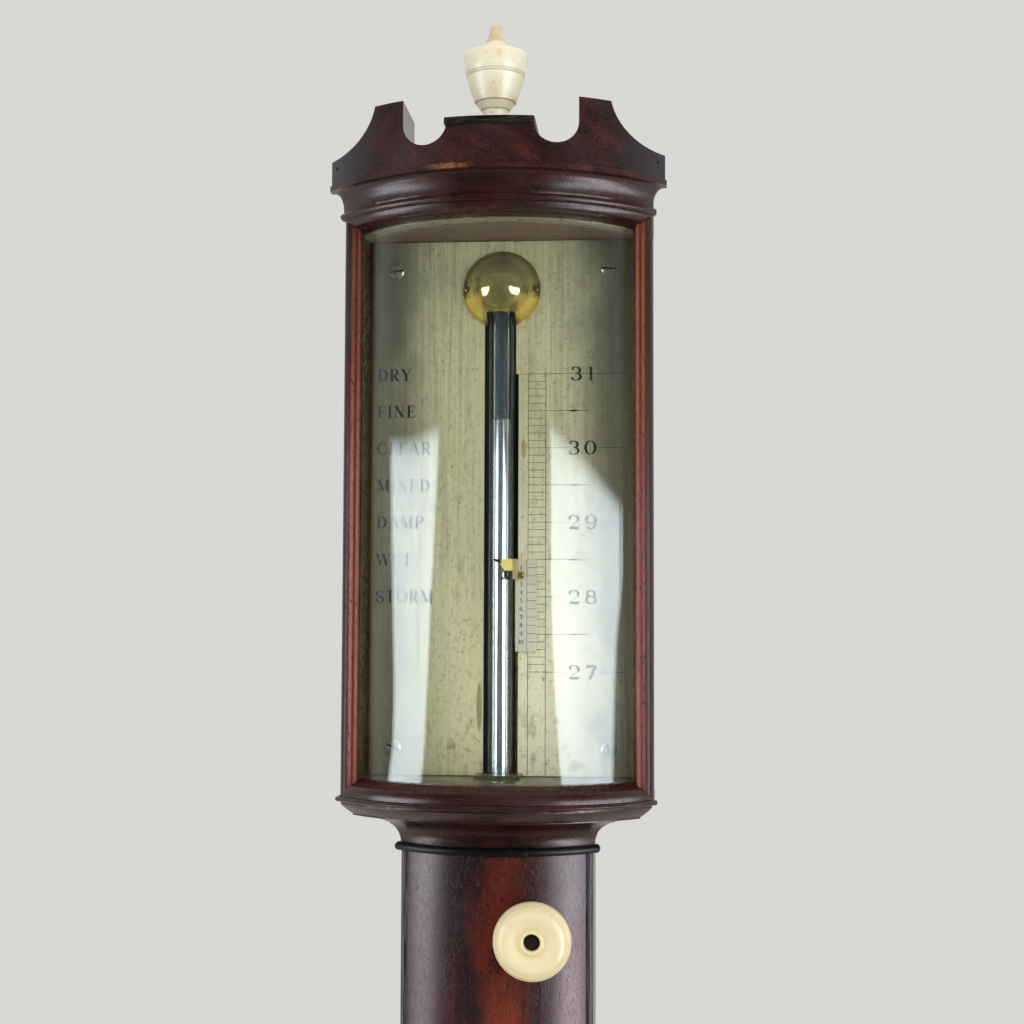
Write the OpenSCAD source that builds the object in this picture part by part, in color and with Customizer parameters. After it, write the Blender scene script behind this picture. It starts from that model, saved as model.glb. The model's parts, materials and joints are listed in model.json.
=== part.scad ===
// Bow-front stick barometer on a wall hook, in millimetres.
// X points right, Y points into the wall, Z points up.
// The origin is the centre of the hanging hole on the back plane.

/* [Case] */
// Half width of the hood over its stiles
hood_half_w = 52; // [51.5:0.1:52.5]
// Front bow radius minus half width, the same for every moulding
bow_extra = 14.7; // [14.4:0.1:15]
// How far the axis of the bow lies behind the back plane
bow_axis_y = 7.8; // [7.6:0.1:8]
// Half width of the trunk
trunk_half_w = 31.6; // [31.4:0.1:32]
// Thickness of the backboard
back_t = 15; // [14.8:0.1:15.2]
// Thickness of the side cheeks of the hood
cheek_t = 4; // [3.5:0.1:4.4]
// Length of the trunk between its two beads
trunk_len = 581; // [579:0.5:582]

/* [Pediment] */
// Height of the horns over the cornice
horn_h = 22.2; // [21:0.2:23]
// Half width of the plinth between the horns
plinth_half_w = 13.7; // [13:0.1:14]
// Radius of the two round cuts beside the plinth
horn_cut_r = 7.4; // [7:0.1:7.6]
// Height of the turned finial
finial_h = 36.7; // [35:0.1:38]

/* [Register] */
// Thickness of the two register plates
plate_t = 1.5; // [1.2:0.1:1.6]
// Half width of the slot between the plates
slot_half_w = 5.8; // [5.8:0.05:6]
// Radius of the brass cover over the tube's head
cover_r = 13.3; // [13:0.1:13.6]
// Thickness of the bowed glass
glass_t = 2; // [1.8:0.1:2.1]

/* [Tube] */
// Outer diameter of the tube
tube_d = 8.6; // [8.3:0.1:8.6]
// Bore of the tube
bore_d = 4.5; // [4:0.1:5]
// Height of the mercury in inches
mercury_reading = 30.4; // [28:0.1:30.9]

/* [Setting] */
// Place of the vernier index in inches
vernier_reading = 28.5; // [28.3:0.1:28.7]
// Diameter of the turned setting knob
knob_d = 25.4; // [24:0.2:26]
// Teeth of the pinion
pinion_teeth = 16; // [15:1:17]
// Module of the rack and pinion
gear_module = 0.4; // [0.38:0.01:0.41]

/* [Cistern] */
// Outer radius of the boxwood cistern
cistern_r = 13.5; // [13.3:0.1:13.6]
// Largest radius of the half-turned cistern cover
urn_r = 31; // [30.6:0.1:31.4]
// Lift of the leather bag's pad
pad_travel = 9; // [7:0.5:9]

/* [Clearances] */
// Gap between pieces that slide past each other
slide_gap = 0.35; // [0.3:0.01:0.4]
// Radial running fit of the spindle and the screw
run_fit = 0.05; // [0.03:0.01:0.08]
// Radial gap between the mercury and the bore
bore_fit = 0.03; // [0.02:0.01:0.04]

/* [Hidden] */
$fn = 72;

// Heights of the hood, counted from the 27 inch mark of the scale
inch = 25.4;
mark_27 = -168;
sight_rise = 148;
sight_drop = 35.2;
top_rail_h = 3.7;
cornice_h = 11.5;
bottom_rail_h = 5.5;
base_lip_h = 1.7;
neck_h = 13.8;
mark_31 = mark_27 + 4 * inch;
slot_step = 0.9;
mercury_z = mark_27 + (mercury_reading - 27) * inch;
index_z = mark_27 + (vernier_reading - 27) * inch;
soffit_z = mark_27 + sight_rise;
cornice_z = soffit_z + top_rail_h;
pediment_z = cornice_z + cornice_h;
floor_z = mark_27 - sight_drop;
shelf_z = floor_z - bottom_rail_h;
narrow_z = shelf_z - base_lip_h;
neck_z = narrow_z - neck_h;

// Heights of the trunk and the cistern under it; at the trunk's true length the mercury
// in the cistern lies 27 inches under the 27 inch mark
bead_h = 2.8;
trunk_top_z = neck_z - bead_h;
trunk_end_z = trunk_top_z - trunk_len;
urn_top_z = trunk_end_z - bead_h;
level_drop = 43;
level_z = urn_top_z - level_drop;

// Plan of the case
bow_y = bow_axis_y;
back_half_w = hood_half_w - 2 - cheek_t;
trunk_back_half_w = trunk_half_w - 3.6;
trunk_wall = 6.6;
hood_r = hood_half_w + bow_extra;
trunk_r = trunk_half_w + bow_extra;
plate_y = -back_t - plate_t;
tube_y = plate_y - 0.5;
tube_r = tube_d / 2;
bore_r = bore_d / 2;
glass_r = hood_r - 7.4;
glass_in_r = glass_r - glass_t;
lip_r = glass_r + 0.1;
sight_half_w = hood_half_w - 6.8;
stile_back_y = -25.2;
stile_front_y = bow_y - sqrt(hood_r * hood_r - hood_half_w * hood_half_w) - 0.4;
end_depth = 2.4;
moulding_end_y = stile_front_y + end_depth;
tongue_t = 12;
tongue_half_w = 12.5;
tongue_h = 11.3;
tongue_z = pediment_z + tongue_h;

// Pediment
plinth_z = pediment_z + 12.5;
cap_t = 2.4;
cap_over = 0.9;
horn_top_z = pediment_z + horn_h;
horn_foot_z = pediment_z + 8.2;
ped_half_w = hood_half_w + 4;
horn_in_x = plinth_half_w + 2 * horn_cut_r;
horn_out_x = horn_in_x + 10;
finial_y = -41.5;

// Hanging plate
hang_t = 2.5;
hang_half_w = 9;
hang_r = 3.5;
hang_low_z = -19;
hang_top_z = 6;
hang_screw_z = [-9.5, -15];

// Setting gear
pitch_r = gear_module * pinion_teeth / 2;
tooth_pitch = PI * gear_module;
addendum = 0.9 * gear_module;
dedendum = 1.25 * gear_module;
backlash = 0.17;
knob_x = 12.9;
knob_drop = 29.2;
knob_z = neck_z - knob_drop;
knob_r = knob_d / 2;
spindle_r = 1.5;
rack_x = knob_x - pitch_r;
rack_t = 2.8;
rack_y = -back_t + 1.1;
rack_in_x = tube_r + 0.45;
web_t = 0.8;
low_stroke = index_z - mark_27;
high_stroke = mark_31 - index_z;
rack_low_z = knob_z - high_stroke - 6;
vernier_h = 31.2;
knob_y = bow_y - trunk_r - 0.4;
bush_r = 3.4;

// Cistern
lid_top_z = level_z + 26;
cup_z = level_z - 17.2;
cup_wall = 3;
bag_gap = 0.5;
barrel_inset = 1.2;
barrel_wall = 2.3;
bag_r = cistern_r - barrel_inset - barrel_wall - bag_gap;
bag_wall = 0.8;
bag_h = 15;
bag_end_z = cup_z - bag_h;
tube_end_z = level_z - 12;
pad_r = bag_r - 1.5;
pad_t = 4;
pad_top_z = bag_end_z - slide_gap;
screw_r = 2.5;
case_wall = 2.4;
rebate_h = 5;
collar_h = 9;
under_pad = 15;
base_top_z = cup_z + rebate_h;
base_end_z = pad_top_z - pad_t - under_pad;
urn_foot = 9.45;
urn_end_z = base_end_z - urn_foot;
urn_h = urn_top_z - urn_end_z;
nut_r = 5.5;
nut_t = 4;
screw_head_h = 12;
screw_head_z = base_end_z - pad_travel - 1.2;

// Places of the plate's screws, written as x and z
plate_screw_x = 36.4;
plate_screw_z = [floor_z + 9.4, soffit_z - 10.3];
cover_drop = 17.3;
cover_z = soffit_z - cover_drop;
cover_t = 1.1;
cover_lip = 3.1;
ball_r = cover_r - cover_lip;
clip_drop = 241;
clip_z = trunk_top_z - clip_drop;
strap_z = level_z + 6;
strap_x = cistern_r + 4.5;
urn_screw_x = urn_r - 3;
urn_screw_z = [urn_top_z - 24, urn_top_z - 38];

function arc_pts(cx, cz, rx, rz, a0, a1, n) =
  [for (i = [0:n]) [cx + rx * cos(a0 + (a1 - a0) * i / n), cz + rz * sin(a0 + (a1 - a0) * i / n)]];
function mirrored(p) = concat(p, [for (i = [len(p) - 1:-1:0]) [-p[i][0], p[i][1]]]);

// Draws a shape given in x and z between two places on Y
module along_y(y_front, y_back) {
  translate([0, y_back, 0])
    rotate([90, 0, 0])
      linear_extrude(height = y_back - y_front)
        children();
}

// Turns a profile of radius and height about an axis that points at the viewer
module turned_y(x, y, z) {
  translate([x, y, z])
    rotate([90, 0, 0])
      rotate_extrude()
        children();
}

// A moulding round the bowed front; what stands out past the case's sides stops at end_y,
// and the rest goes back to the back plane
module bowed(prof, side_w, end_y) {
  last = len(prof) - 1;
  over = max([for (p = prof) p[0]]) - side_w + 1;
  low_z = prof[0][1];
  tall = prof[last][1] - low_z;
  difference() {
    intersection() {
      translate([0, bow_y, 0])
        rotate_extrude()
          polygon(concat([[0, low_z]], [for (p = prof) [p[0] + bow_extra, p[1]]], [[0, prof[last][1]]]));
      along_y(-90, 0)
        polygon(mirrored(prof));
    }
    for (side = [-1, 1])
      translate([side * (side_w + over / 2), (end_y + 1) / 2, low_z + tall / 2])
        cube([over, 1 - end_y, tall + 2], center = true);
  }
}

// The flat plan of a bowed board
module bow_plan(r, w, y_back) {
  intersection() {
    translate([0, bow_y])
      circle(r);
    translate([-w, -90])
      square([2 * w, 90 + y_back]);
  }
}

// A wood screw whose slotted head faces the viewer
module face_screw(x, y, z, head_r, head_h, shank_r, len) {
  difference() {
    turned_y(x, y, z)
      polygon(concat([[0, -len], [shank_r, -len], [shank_r, 0]], arc_pts(0, 0, head_r, head_h, 0, 90, 6)));
    translate([x - head_r - 1, y - head_h - 1, z - 0.3])
      cube([2 * head_r + 2, 1 + head_h * 0.6, 0.6]);
  }
}

// The hole of such a screw
module screw_hole(x, y, z, shank_r, len) {
  translate([x, y, z])
    rotate([-90, 0, 0])
      cylinder(r = shank_r, h = len);
}

// A countersunk screw driven from the back plane
module back_screw(x, z, len, slot_h) {
  difference() {
    back_screw_body(x, z, len);
    translate([x - 4, -0.9, z - slot_h / 2])
      cube([8, 2, slot_h]);
  }
}

module back_screw_body(x, z, len) {
  translate([x, -0.3, z])
    rotate([90, 0, 0])
      rotate_extrude()
        polygon([[0, 0], [2.6, 0], [1.3, 1.4], [1.3, len], [0, len]]);
}

// The open countersink that such a screw sits in
module back_screw_seat(x, z, len) {
  translate([x, 0.01, z])
    rotate([90, 0, 0])
      rotate_extrude()
        polygon([[0, 0], [2.6, 0], [2.6, 0.31], [1.3, 1.71], [1.3, len + 0.31], [0, len + 0.31]]);
}

module tube_hole(z0, z1, gap) {
  translate([0, tube_y, z0])
    cylinder(r = tube_r + gap, h = z1 - z0);
}

module back_notch(z0, z1) {
  translate([-back_half_w, -back_t, narrow_z])
    cube([2 * back_half_w, back_t + 1, max(z1 - narrow_z, 0.01)]);
  translate([-trunk_back_half_w, -back_t, z0 - 1])
    cube([2 * trunk_back_half_w, back_t + 1, z1 - z0 + 2]);
}

module backboard() {
  color("saddlebrown")
    difference() {
      union() {
        translate([-back_half_w, -back_t, narrow_z])
          cube([2 * back_half_w, back_t, pediment_z - narrow_z]);
        translate([-tongue_half_w, -tongue_t, pediment_z - 1])
          cube([2 * tongue_half_w, tongue_t, tongue_z - pediment_z + 1]);
        translate([-trunk_back_half_w, -back_t, urn_top_z])
          cube([2 * trunk_back_half_w, back_t, narrow_z - urn_top_z + 1]);
        along_y(-back_t, 0)
          polygon(mirrored([for (p = urn_prof) [p[0], urn_top_z - p[1] * urn_h]]));
      }
      // hanging plate, its screws and the room for the hook's head
      translate([-hang_half_w, -hang_t, hang_low_z])
        cube([2 * hang_half_w, hang_t + 1, hang_top_z - hang_low_z]);
      translate([0, -9, 0])
        rotate([-90, 0, 0])
          cylinder(r = 6, h = 9);
      for (z = hang_screw_z)
        back_screw_seat(0, z, 10);
      // channel of the tube
      tube_hole(lid_top_z - 1, cover_z + 7.5, 0.4);
      // groove of the rack and pocket of the pinion
      translate([rack_in_x - slide_gap, -back_t - 1, rack_low_z - low_stroke - 2])
        cube([rack_x + addendum - rack_in_x + 2 * slide_gap, 1 + 1.1 + rack_t + slide_gap,
              index_z + high_stroke + 2 - rack_low_z + low_stroke]);
      screw_hole(knob_x, -back_t - 1, knob_z, pitch_r + addendum + 0.4, 1 + 1.1 + rack_t + slide_gap);
      screw_hole(knob_x, -back_t, knob_z, spindle_r + run_fit, 9);
      // cistern and the screws that hold things to the front
      translate([0, tube_y, base_end_z - 1])
        cylinder(r = cistern_r + 0.2, h = lid_top_z - base_end_z + 2);
      translate([0, tube_y, urn_end_z])
        cylinder(r = 7, h = 20);
      for (x = [-plate_screw_x, plate_screw_x], z = plate_screw_z)
        screw_hole(x, -back_t - 1, z, 1.2, 9);
      for (x = [-clip_x(), clip_x()])
        screw_hole(x, -back_t - 1, clip_z, 1, 7);
      for (x = [-strap_x, strap_x])
        screw_hole(x, -back_t - 1, strap_z, 1, 7);
      for (x = [-urn_screw_x, urn_screw_x], z = urn_screw_z)
        back_screw_seat(x, z, 20);
    }
}

function clip_x() = tube_r + 4;

module hanging_plate() {
  color("goldenrod")
    difference() {
      translate([-hang_half_w, -hang_t, hang_low_z])
        cube([2 * hang_half_w, hang_t, hang_top_z - hang_low_z]);
      translate([0, -hang_t - 1, 0])
        rotate([-90, 0, 0])
          cylinder(r = hang_r, h = hang_t + 2);
      for (z = hang_screw_z)
        back_screw_seat(0, z, 10);
    }
}

module hanging_plate_screws() {
  color("goldenrod")
    for (z = hang_screw_z)
      back_screw(0, z, 10, 0.7);
}

// Plan of the trunk's shell, taken along Z
module trunk_front() {
  color("sienna")
    difference() {
      translate([0, 0, trunk_end_z])
        linear_extrude(height = trunk_len)
          bow_plan(trunk_r, trunk_half_w, 0);
      translate([-trunk_back_half_w, -back_t, trunk_end_z - 1])
        cube([2 * trunk_back_half_w, back_t + 1, trunk_len + 2]);
      translate([0, 0, trunk_end_z - 1])
        linear_extrude(height = trunk_len + 2)
          bow_plan(trunk_r - trunk_wall, trunk_half_w - trunk_wall, -back_t + 0.5);
      edge_rods(trunk_end_z - 1, trunk_top_z + 1);
      screw_hole(knob_x, knob_y - 1, knob_z, bush_r, 20);
    }
}

rod_r = 1.6;
rod_x = trunk_half_w - 1.3;
rod_y = bow_y - sqrt(trunk_r * trunk_r - rod_x * rod_x) + 0.7;
bead_end_y = rod_y + rod_r + 0.6;

module edge_rods(z0, z1) {
  for (x = [-rod_x, rod_x])
    translate([x, rod_y, z0])
      cylinder(r = rod_r, h = z1 - z0, $fn = 32);
}

module trunk_edge_beads() {
  color("black")
    edge_rods(trunk_end_z, trunk_top_z);
}

function bead_prof(z0) =
  concat([[trunk_half_w + 1, z0]], arc_pts(trunk_half_w + 1.2, z0 + bead_h / 2, 1.4, 1.4, -90, 90, 8),
         [[trunk_half_w + 1, z0 + bead_h]]);

module neck_bead() {
  color("black")
    difference() {
      bowed(bead_prof(trunk_top_z), trunk_half_w, bead_end_y);
      translate([-trunk_back_half_w, -back_t, trunk_top_z - 1])
        cube([2 * trunk_back_half_w, back_t + 1, bead_h + 2]);
      tube_hole(trunk_top_z - 1, neck_z + 1, 0.4);
    }
}

module trunk_base_bead() {
  color("black")
    difference() {
      bowed(bead_prof(urn_top_z), trunk_half_w, bead_end_y);
      translate([-trunk_back_half_w, -back_t, urn_top_z - 1])
        cube([2 * trunk_back_half_w, back_t + 1, bead_h + 2]);
      tube_hole(urn_top_z - 1, trunk_end_z + 1, 0.4);
    }
}

base_prof = concat(
  [[trunk_half_w + 0.6, neck_z]],
  arc_pts(trunk_half_w + 9.4, neck_z, -8.8, 7.9, 0, 90, 8),
  [[hood_half_w - 5.4, neck_z + 7.9]],
  arc_pts(hood_half_w - 5.4, narrow_z, 4.7, 5, -90, 0, 8),
  arc_pts(hood_half_w + 0.2, narrow_z + 0.85, 0.85, 0.85, -90, 90, 6)
);

module hood_base() {
  color("sienna")
    difference() {
      union() {
        bowed(base_prof, hood_half_w, moulding_end_y);
        translate([0, 0, shelf_z - 1])
          linear_extrude(height = floor_z - shelf_z + 1)
            bow_plan(glass_in_r - 0.2, back_half_w, -back_t);
      }
      back_notch(neck_z, floor_z + 1);
      tube_hole(neck_z - 1, floor_z + 1, 0.4);
      // recess of the plug round the tube
      translate([-plug_half_w, plug_y, floor_z - plug_t + 1.2])
        cube([2 * plug_half_w, -plug_y - back_t, plug_t]);
    }
}

plug_half_w = 7.7;
plug_t = 4;
plug_y = tube_y - 11;

module floor_plug() {
  color("dimgray")
    difference() {
      translate([-plug_half_w, plug_y, floor_z - plug_t + 1.2])
        cube([2 * plug_half_w, plate_y - plug_y - 0.1, plug_t]);
      tube_hole(floor_z - 10, floor_z + 10, 0.02);
    }
}

// Front contour of the rails from the sight edge out, as steps of depth and rise between 0 and 1
rail_steps = concat(
  [[0, 0], [1.2, 0], [2.6, 0.16]],
  [[3.1, 0.2], [3.5, 0.3], [4.0, 0.34], [4.6, 0.32]],
  arc_pts(5.2, 1, 2.1, 0.72, -90, 0, 6)
);

module rail(z_in, z_out) {
  dz = z_out - z_in;
  tongue_in = z_in + sign(dz) * 2.5;
  intersection() {
    translate([0, bow_y, 0])
      rotate_extrude()
        polygon(concat([for (s = rail_steps) [lip_r + s[0], z_in + dz * s[1]]],
                       [[glass_in_r, z_out], [glass_in_r, tongue_in], [lip_r, tongue_in]]));
    along_y(-90, stile_back_y)
      polygon([[-sight_half_w, z_in], [sight_half_w, z_in], [hood_half_w, z_out], [-hood_half_w, z_out]]);
  }
}

module bottom_rail() {
  color("sienna")
    rail(floor_z, shelf_z);
}

module top_rail() {
  color("sienna")
    rail(soffit_z, cornice_z);
}

// Plan of the right stile, moulded from the sight edge out
module stile_plan() {
  in_y = bow_y - sqrt(lip_r * lip_r - sight_half_w * sight_half_w);
  difference() {
    polygon(concat(
      [[sight_half_w, stile_back_y], [sight_half_w, in_y - 1.1], [sight_half_w + 1.6, stile_front_y + 0.2]],
      [[sight_half_w + 2.1, stile_front_y + 0.7], [sight_half_w + 2.7, stile_front_y + 1]],
      [[sight_half_w + 3.3, stile_front_y + 0.7], [sight_half_w + 3.8, stile_front_y]],
      arc_pts(sight_half_w + 4.2, stile_front_y + 4.4, 2.6, 4.2, -90, 0, 8),
      [[hood_half_w, stile_back_y]]
    ));
    translate([0, stile_back_y - 20])
      square([sight_half_w + 1.5, 21], center = false);
  }
  intersection() {
    polygon([[sight_half_w, stile_back_y - 1], [sight_half_w, in_y - 1.1],
             [sight_half_w + 1.6, stile_front_y + 0.2], [sight_half_w + 1.6, stile_back_y - 1]]);
    difference() {
      square(200, center = true);
      translate([0, bow_y])
        circle(lip_r);
    }
  }
}

module stile() {
  intersection() {
    translate([0, 0, shelf_z])
      linear_extrude(height = cornice_z - shelf_z)
        stile_plan();
    along_y(-90, 0)
      polygon([[sight_half_w, floor_z], [hood_half_w, shelf_z],
               [hood_half_w, cornice_z], [sight_half_w, soffit_z]]);
  }
}

module right_stile() {
  color("sienna")
    stile();
}

module left_stile() {
  color("sienna")
    mirror([1, 0, 0])
      stile();
}

module cheek() {
  translate([back_half_w, stile_back_y, shelf_z])
    cube([cheek_t, -stile_back_y, cornice_z - shelf_z]);
}

module right_cheek() {
  color("saddlebrown")
    cheek();
}

module left_cheek() {
  color("saddlebrown")
    mirror([1, 0, 0])
      cheek();
}

module hood_soffit() {
  color("saddlebrown")
    translate([0, 0, soffit_z])
      linear_extrude(height = cornice_z - soffit_z)
        bow_plan(glass_in_r - 0.2, back_half_w, -back_t);
}

cornice_prof = concat(
  [[hood_half_w - 0.8, cornice_z]],
  arc_pts(hood_half_w - 0.1, cornice_z + 1.25, 1.25, 1.25, -90, 90, 8),
  [[hood_half_w, cornice_z + 2.5]],
  arc_pts(hood_half_w + 3.4, cornice_z + 3.4, -3.4, 6.2, 0, 90, 8),
  [[hood_half_w + 4.5, cornice_z + 9.6], [hood_half_w + 4.5, pediment_z]]
);

module cornice() {
  color("sienna")
    difference() {
      bowed(cornice_prof, hood_half_w, moulding_end_y);
      translate([-back_half_w, -back_t, cornice_z - 1])
        cube([2 * back_half_w, back_t + 1, pediment_z - cornice_z + 2]);
    }
}

// Scrolled outline of the pediment, one half
module pediment_half() {
  cut_x = plinth_half_w + horn_cut_r;
  cut_z = pediment_z + 6.7 + horn_cut_r;
  sweep_r = 17.7;
  difference() {
    polygon([[0, pediment_z], [ped_half_w, pediment_z], [ped_half_w, horn_foot_z], [horn_out_x, horn_top_z],
             [horn_in_x, horn_top_z], [horn_in_x, cut_z], [cut_x, cut_z], [cut_x, plinth_z], [0, plinth_z]]);
    translate([cut_x, cut_z])
      circle(horn_cut_r);
    translate([ped_half_w, horn_foot_z + sweep_r])
      circle(sweep_r);
  }
}

module pediment() {
  color("sienna")
    intersection() {
      along_y(-90, moulding_end_y)
        union() {
          pediment_half();
          mirror([1, 0, 0])
            pediment_half();
        }
      translate([0, 0, pediment_z - 1])
        linear_extrude(height = horn_h + 2)
          bow_plan(ped_half_w + bow_extra, ped_half_w, 0);
    }
}

module pediment_cap() {
  color("black")
    translate([0, 0, plinth_z])
      linear_extrude(height = cap_t)
        bow_plan(ped_half_w + bow_extra + cap_over, plinth_half_w + cap_over, moulding_end_y);
}

// Urn finial, drawn at its usual height: foot, stem, two steps, cup, ring, tapered drum, lid and tip
finial_draw_h = 36.7;
finial_prof = concat(
  [[0, 0], [7, 0], [7, 1.6]],
  arc_pts(7, 4, -2.7, 2.4, -90, 0, 5),
  [[4.3, 7], [4.9, 9.3], [5.2, 10.1], [5.7, 10.5], [5.9, 11.7], [6.5, 12.1], [6.8, 13.1]],
  [[7.9, 16.3], [9.1, 19.8], [9, 20.2], [9.5, 20.6], [9.4, 21.2], [9.6, 21.5]],
  arc_pts(9.6, 27.9, 0.95, 0.9, 0, 75, 4),
  [[7.8, 29.6], [4.2, 30.4], [3, 31.2], [2.5, 33], [1.8, 35]],
  arc_pts(0, 35.4, 1.85, 1.3, 0, 90, 5)
);

module finial() {
  color("wheat")
    translate([0, finial_y, plinth_z + cap_t])
      rotate_extrude()
        polygon([for (p = finial_prof) [p[0], p[1] * finial_h / finial_draw_h]]);
}

module bow_glass() {
  color("lightblue", 0.4)
    translate([0, 0, floor_z - 2.2])
      linear_extrude(height = soffit_z - floor_z + 4.4)
        intersection() {
          difference() {
            translate([0, bow_y])
              circle(glass_r);
            translate([0, bow_y])
              circle(glass_in_r);
          }
          translate([-sight_half_w - 1.3, -90])
            square([2 * sight_half_w + 2.6, 90]);
        }
}

module plate_half(top_slot_w) {
  step_z = cover_z + 6;
  plate_half_w = back_half_w - 1.6;
  difference() {
    along_y(plate_y, -back_t)
      polygon([[slot_half_w, floor_z + 0.2], [plate_half_w, floor_z + 0.2], [plate_half_w, soffit_z - 0.3],
               [0.8, soffit_z - 0.3], [0.8, cover_z + 9], [top_slot_w, step_z], [top_slot_w, mark_31],
               [slot_half_w, mark_31]]);
    for (z = plate_screw_z)
      screw_hole(plate_screw_x, plate_y - 1, z, 1.25, 5);
    for (x = [-cover_screw_x, cover_screw_x])
      screw_hole(x, plate_y - 1, cover_z, 0.5, 4);
  }
}

module left_register_plate() {
  color("darkkhaki")
    mirror([1, 0, 0])
      plate_half(slot_half_w);
}

module right_register_plate() {
  color("darkkhaki")
    plate_half(slot_half_w - slot_step);
}

module plate_screws() {
  color("khaki")
    for (x = [-plate_screw_x, plate_screw_x], z = plate_screw_z)
      face_screw(x, plate_y, z, 2.7, 0.9, 1.2, 8);
}

cover_screw_x = (cover_r + ball_r) / 2;

// Brass cover over the tube's head: a thin half ball on a flat lip, notched below for the tube
module bulb_cover() {
  wall = 0.8;
  color("gold")
    difference() {
      union() {
        turned_y(0, plate_y, cover_z)
          polygon([[0, 0], [cover_r, 0], [cover_r, cover_t - 0.3], [cover_r - 0.3, cover_t], [0, cover_t]]);
        intersection() {
          translate([0, plate_y - cover_t, cover_z])
            sphere(ball_r, $fn = 96);
          screw_hole(0, plate_y - 30, cover_z, 40, 30);
        }
      }
      translate([0, plate_y - cover_t, cover_z])
        sphere(ball_r - wall, $fn = 96);
      screw_hole(0, plate_y - cover_t, cover_z, ball_r - wall, 10);
      translate([-tube_r - 0.6, plate_y - 30, cover_z - 30])
        cube([tube_d + 1.2, 40, 30 - 8.4]);
      for (x = [-cover_screw_x, cover_screw_x])
        screw_hole(x, plate_y - 10, cover_z, 0.5, 20);
    }
}

module bulb_cover_screws() {
  color("gold")
    for (x = [-cover_screw_x, cover_screw_x])
      difference() {
        turned_y(x, plate_y - cover_t, cover_z)
          polygon(concat([[0, -2.5], [0.5, -2.5], [0.5, 0]], arc_pts(0, 0, 0.95, 0.7, 0, 90, 4)));
        translate([x - 2, plate_y - cover_t - 1.2, cover_z - 0.12])
          cube([4, 0.9, 0.24]);
      }
}

tube_top_z = cover_z + 6.5;

module tube() {
  color("azure", 0.5)
    difference() {
      union() {
        translate([0, tube_y, tube_end_z])
          cylinder(r = tube_r, h = tube_top_z - tube_r - tube_end_z);
        translate([0, tube_y, tube_top_z - tube_r])
          sphere(tube_r);
      }
      translate([0, tube_y, tube_end_z - 1])
        cylinder(r = bore_r, h = tube_top_z - tube_r - tube_end_z + 1);
      translate([0, tube_y, tube_top_z - tube_r])
        sphere(bore_r);
    }
}

module mercury_column() {
  color("silver")
    translate([0, tube_y, tube_end_z])
      cylinder(r = bore_r - bore_fit, h = mercury_z - tube_end_z);
}

// A bent brass strap: a half ring round something with two feet on the backboard
module strap_plan(r_in, t, foot_x) {
  difference() {
    union() {
      translate([0, tube_y])
        circle(r_in + t);
      translate([-r_in - t, tube_y])
        square([2 * (r_in + t), -back_t - tube_y]);
      translate([-foot_x - 2.6, -back_t - t])
        square([2 * foot_x + 5.2, t]);
    }
    translate([0, tube_y])
      circle(r_in);
    translate([-r_in, tube_y])
      square([2 * r_in, 40]);
    translate([-90, -back_t])
      square([180, 90]);
  }
}

module tube_clip() {
  color("goldenrod")
    difference() {
      translate([0, 0, clip_z - 4])
        linear_extrude(height = 8)
          strap_plan(tube_r, 0.8, clip_x());
      for (x = [-clip_x(), clip_x()])
        screw_hole(x, -back_t - 3, clip_z, 1, 9);
    }
}

module tube_clip_screws() {
  color("khaki")
    for (x = [-clip_x(), clip_x()])
      face_screw(x, -back_t - 0.8, clip_z, 1.9, 0.8, 1, 6);
}

guide_z = [knob_z + 14, knob_z - 26];

// Two thin bridges that keep the rack in its groove
module rack_guides() {
  x0 = tube_r + 0.7;
  color("goldenrod")
    for (z = guide_z)
      translate([x0, -back_t - 0.8, z - 4])
        cube([rack_x + 6 - x0, 0.8, 8]);
}

module spindle_bush() {
  far_x = knob_x + bush_r;
  face_y = bow_y - sqrt(trunk_r * trunk_r - far_x * far_x);
  color("goldenrod")
    difference() {
      screw_hole(knob_x, face_y, knob_z, bush_r, 7.5);
      screw_hole(knob_x, knob_y - 1, knob_z, spindle_r + run_fit, 30);
    }
}

module cistern_lid() {
  color("burlywood")
    difference() {
      translate([0, tube_y, lid_top_z - 4])
        cylinder(r = cistern_r, h = 4);
      tube_hole(lid_top_z - 10, lid_top_z + 1, 0.02);
    }
}

module cistern_cup() {
  color("burlywood")
    difference() {
      union() {
        translate([0, tube_y, base_top_z])
          cylinder(r = cistern_r, h = lid_top_z - 4 - base_top_z);
        translate([0, tube_y, cup_z])
          cylinder(r = cistern_r - case_wall, h = base_top_z - cup_z + 1);
      }
      translate([0, tube_y, cup_z - 1])
        cylinder(r = bag_r - bag_wall, h = 9);
      translate([0, tube_y, base_top_z + 2])
        cylinder(r = cistern_r - cup_wall, h = lid_top_z - base_top_z);
    }
}

module mercury_pool() {
  color("silver")
    difference() {
      union() {
        translate([0, tube_y, cup_z])
          cylinder(r = bag_r - bag_wall - bore_fit, h = level_z - cup_z);
        translate([0, tube_y, base_top_z + 2 + bore_fit])
          cylinder(r = cistern_r - cup_wall - bore_fit, h = level_z - base_top_z - 2 - bore_fit);
      }
      translate([0, tube_y, tube_end_z])
        cylinder(r = tube_r + bore_fit, h = 40);
    }
}

module cistern_leather() {
  color("tan")
    difference() {
      translate([0, tube_y, bag_end_z])
        cylinder(r = bag_r, h = bag_h);
      translate([0, tube_y, bag_end_z + bag_wall])
        cylinder(r = bag_r - bag_wall, h = bag_h);
    }
}

module bag_mercury() {
  color("silver")
    translate([0, tube_y, bag_end_z + bag_wall + bore_fit])
      cylinder(r = bag_r - bag_wall - bore_fit, h = bag_h - bag_wall - bore_fit);
}

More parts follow.
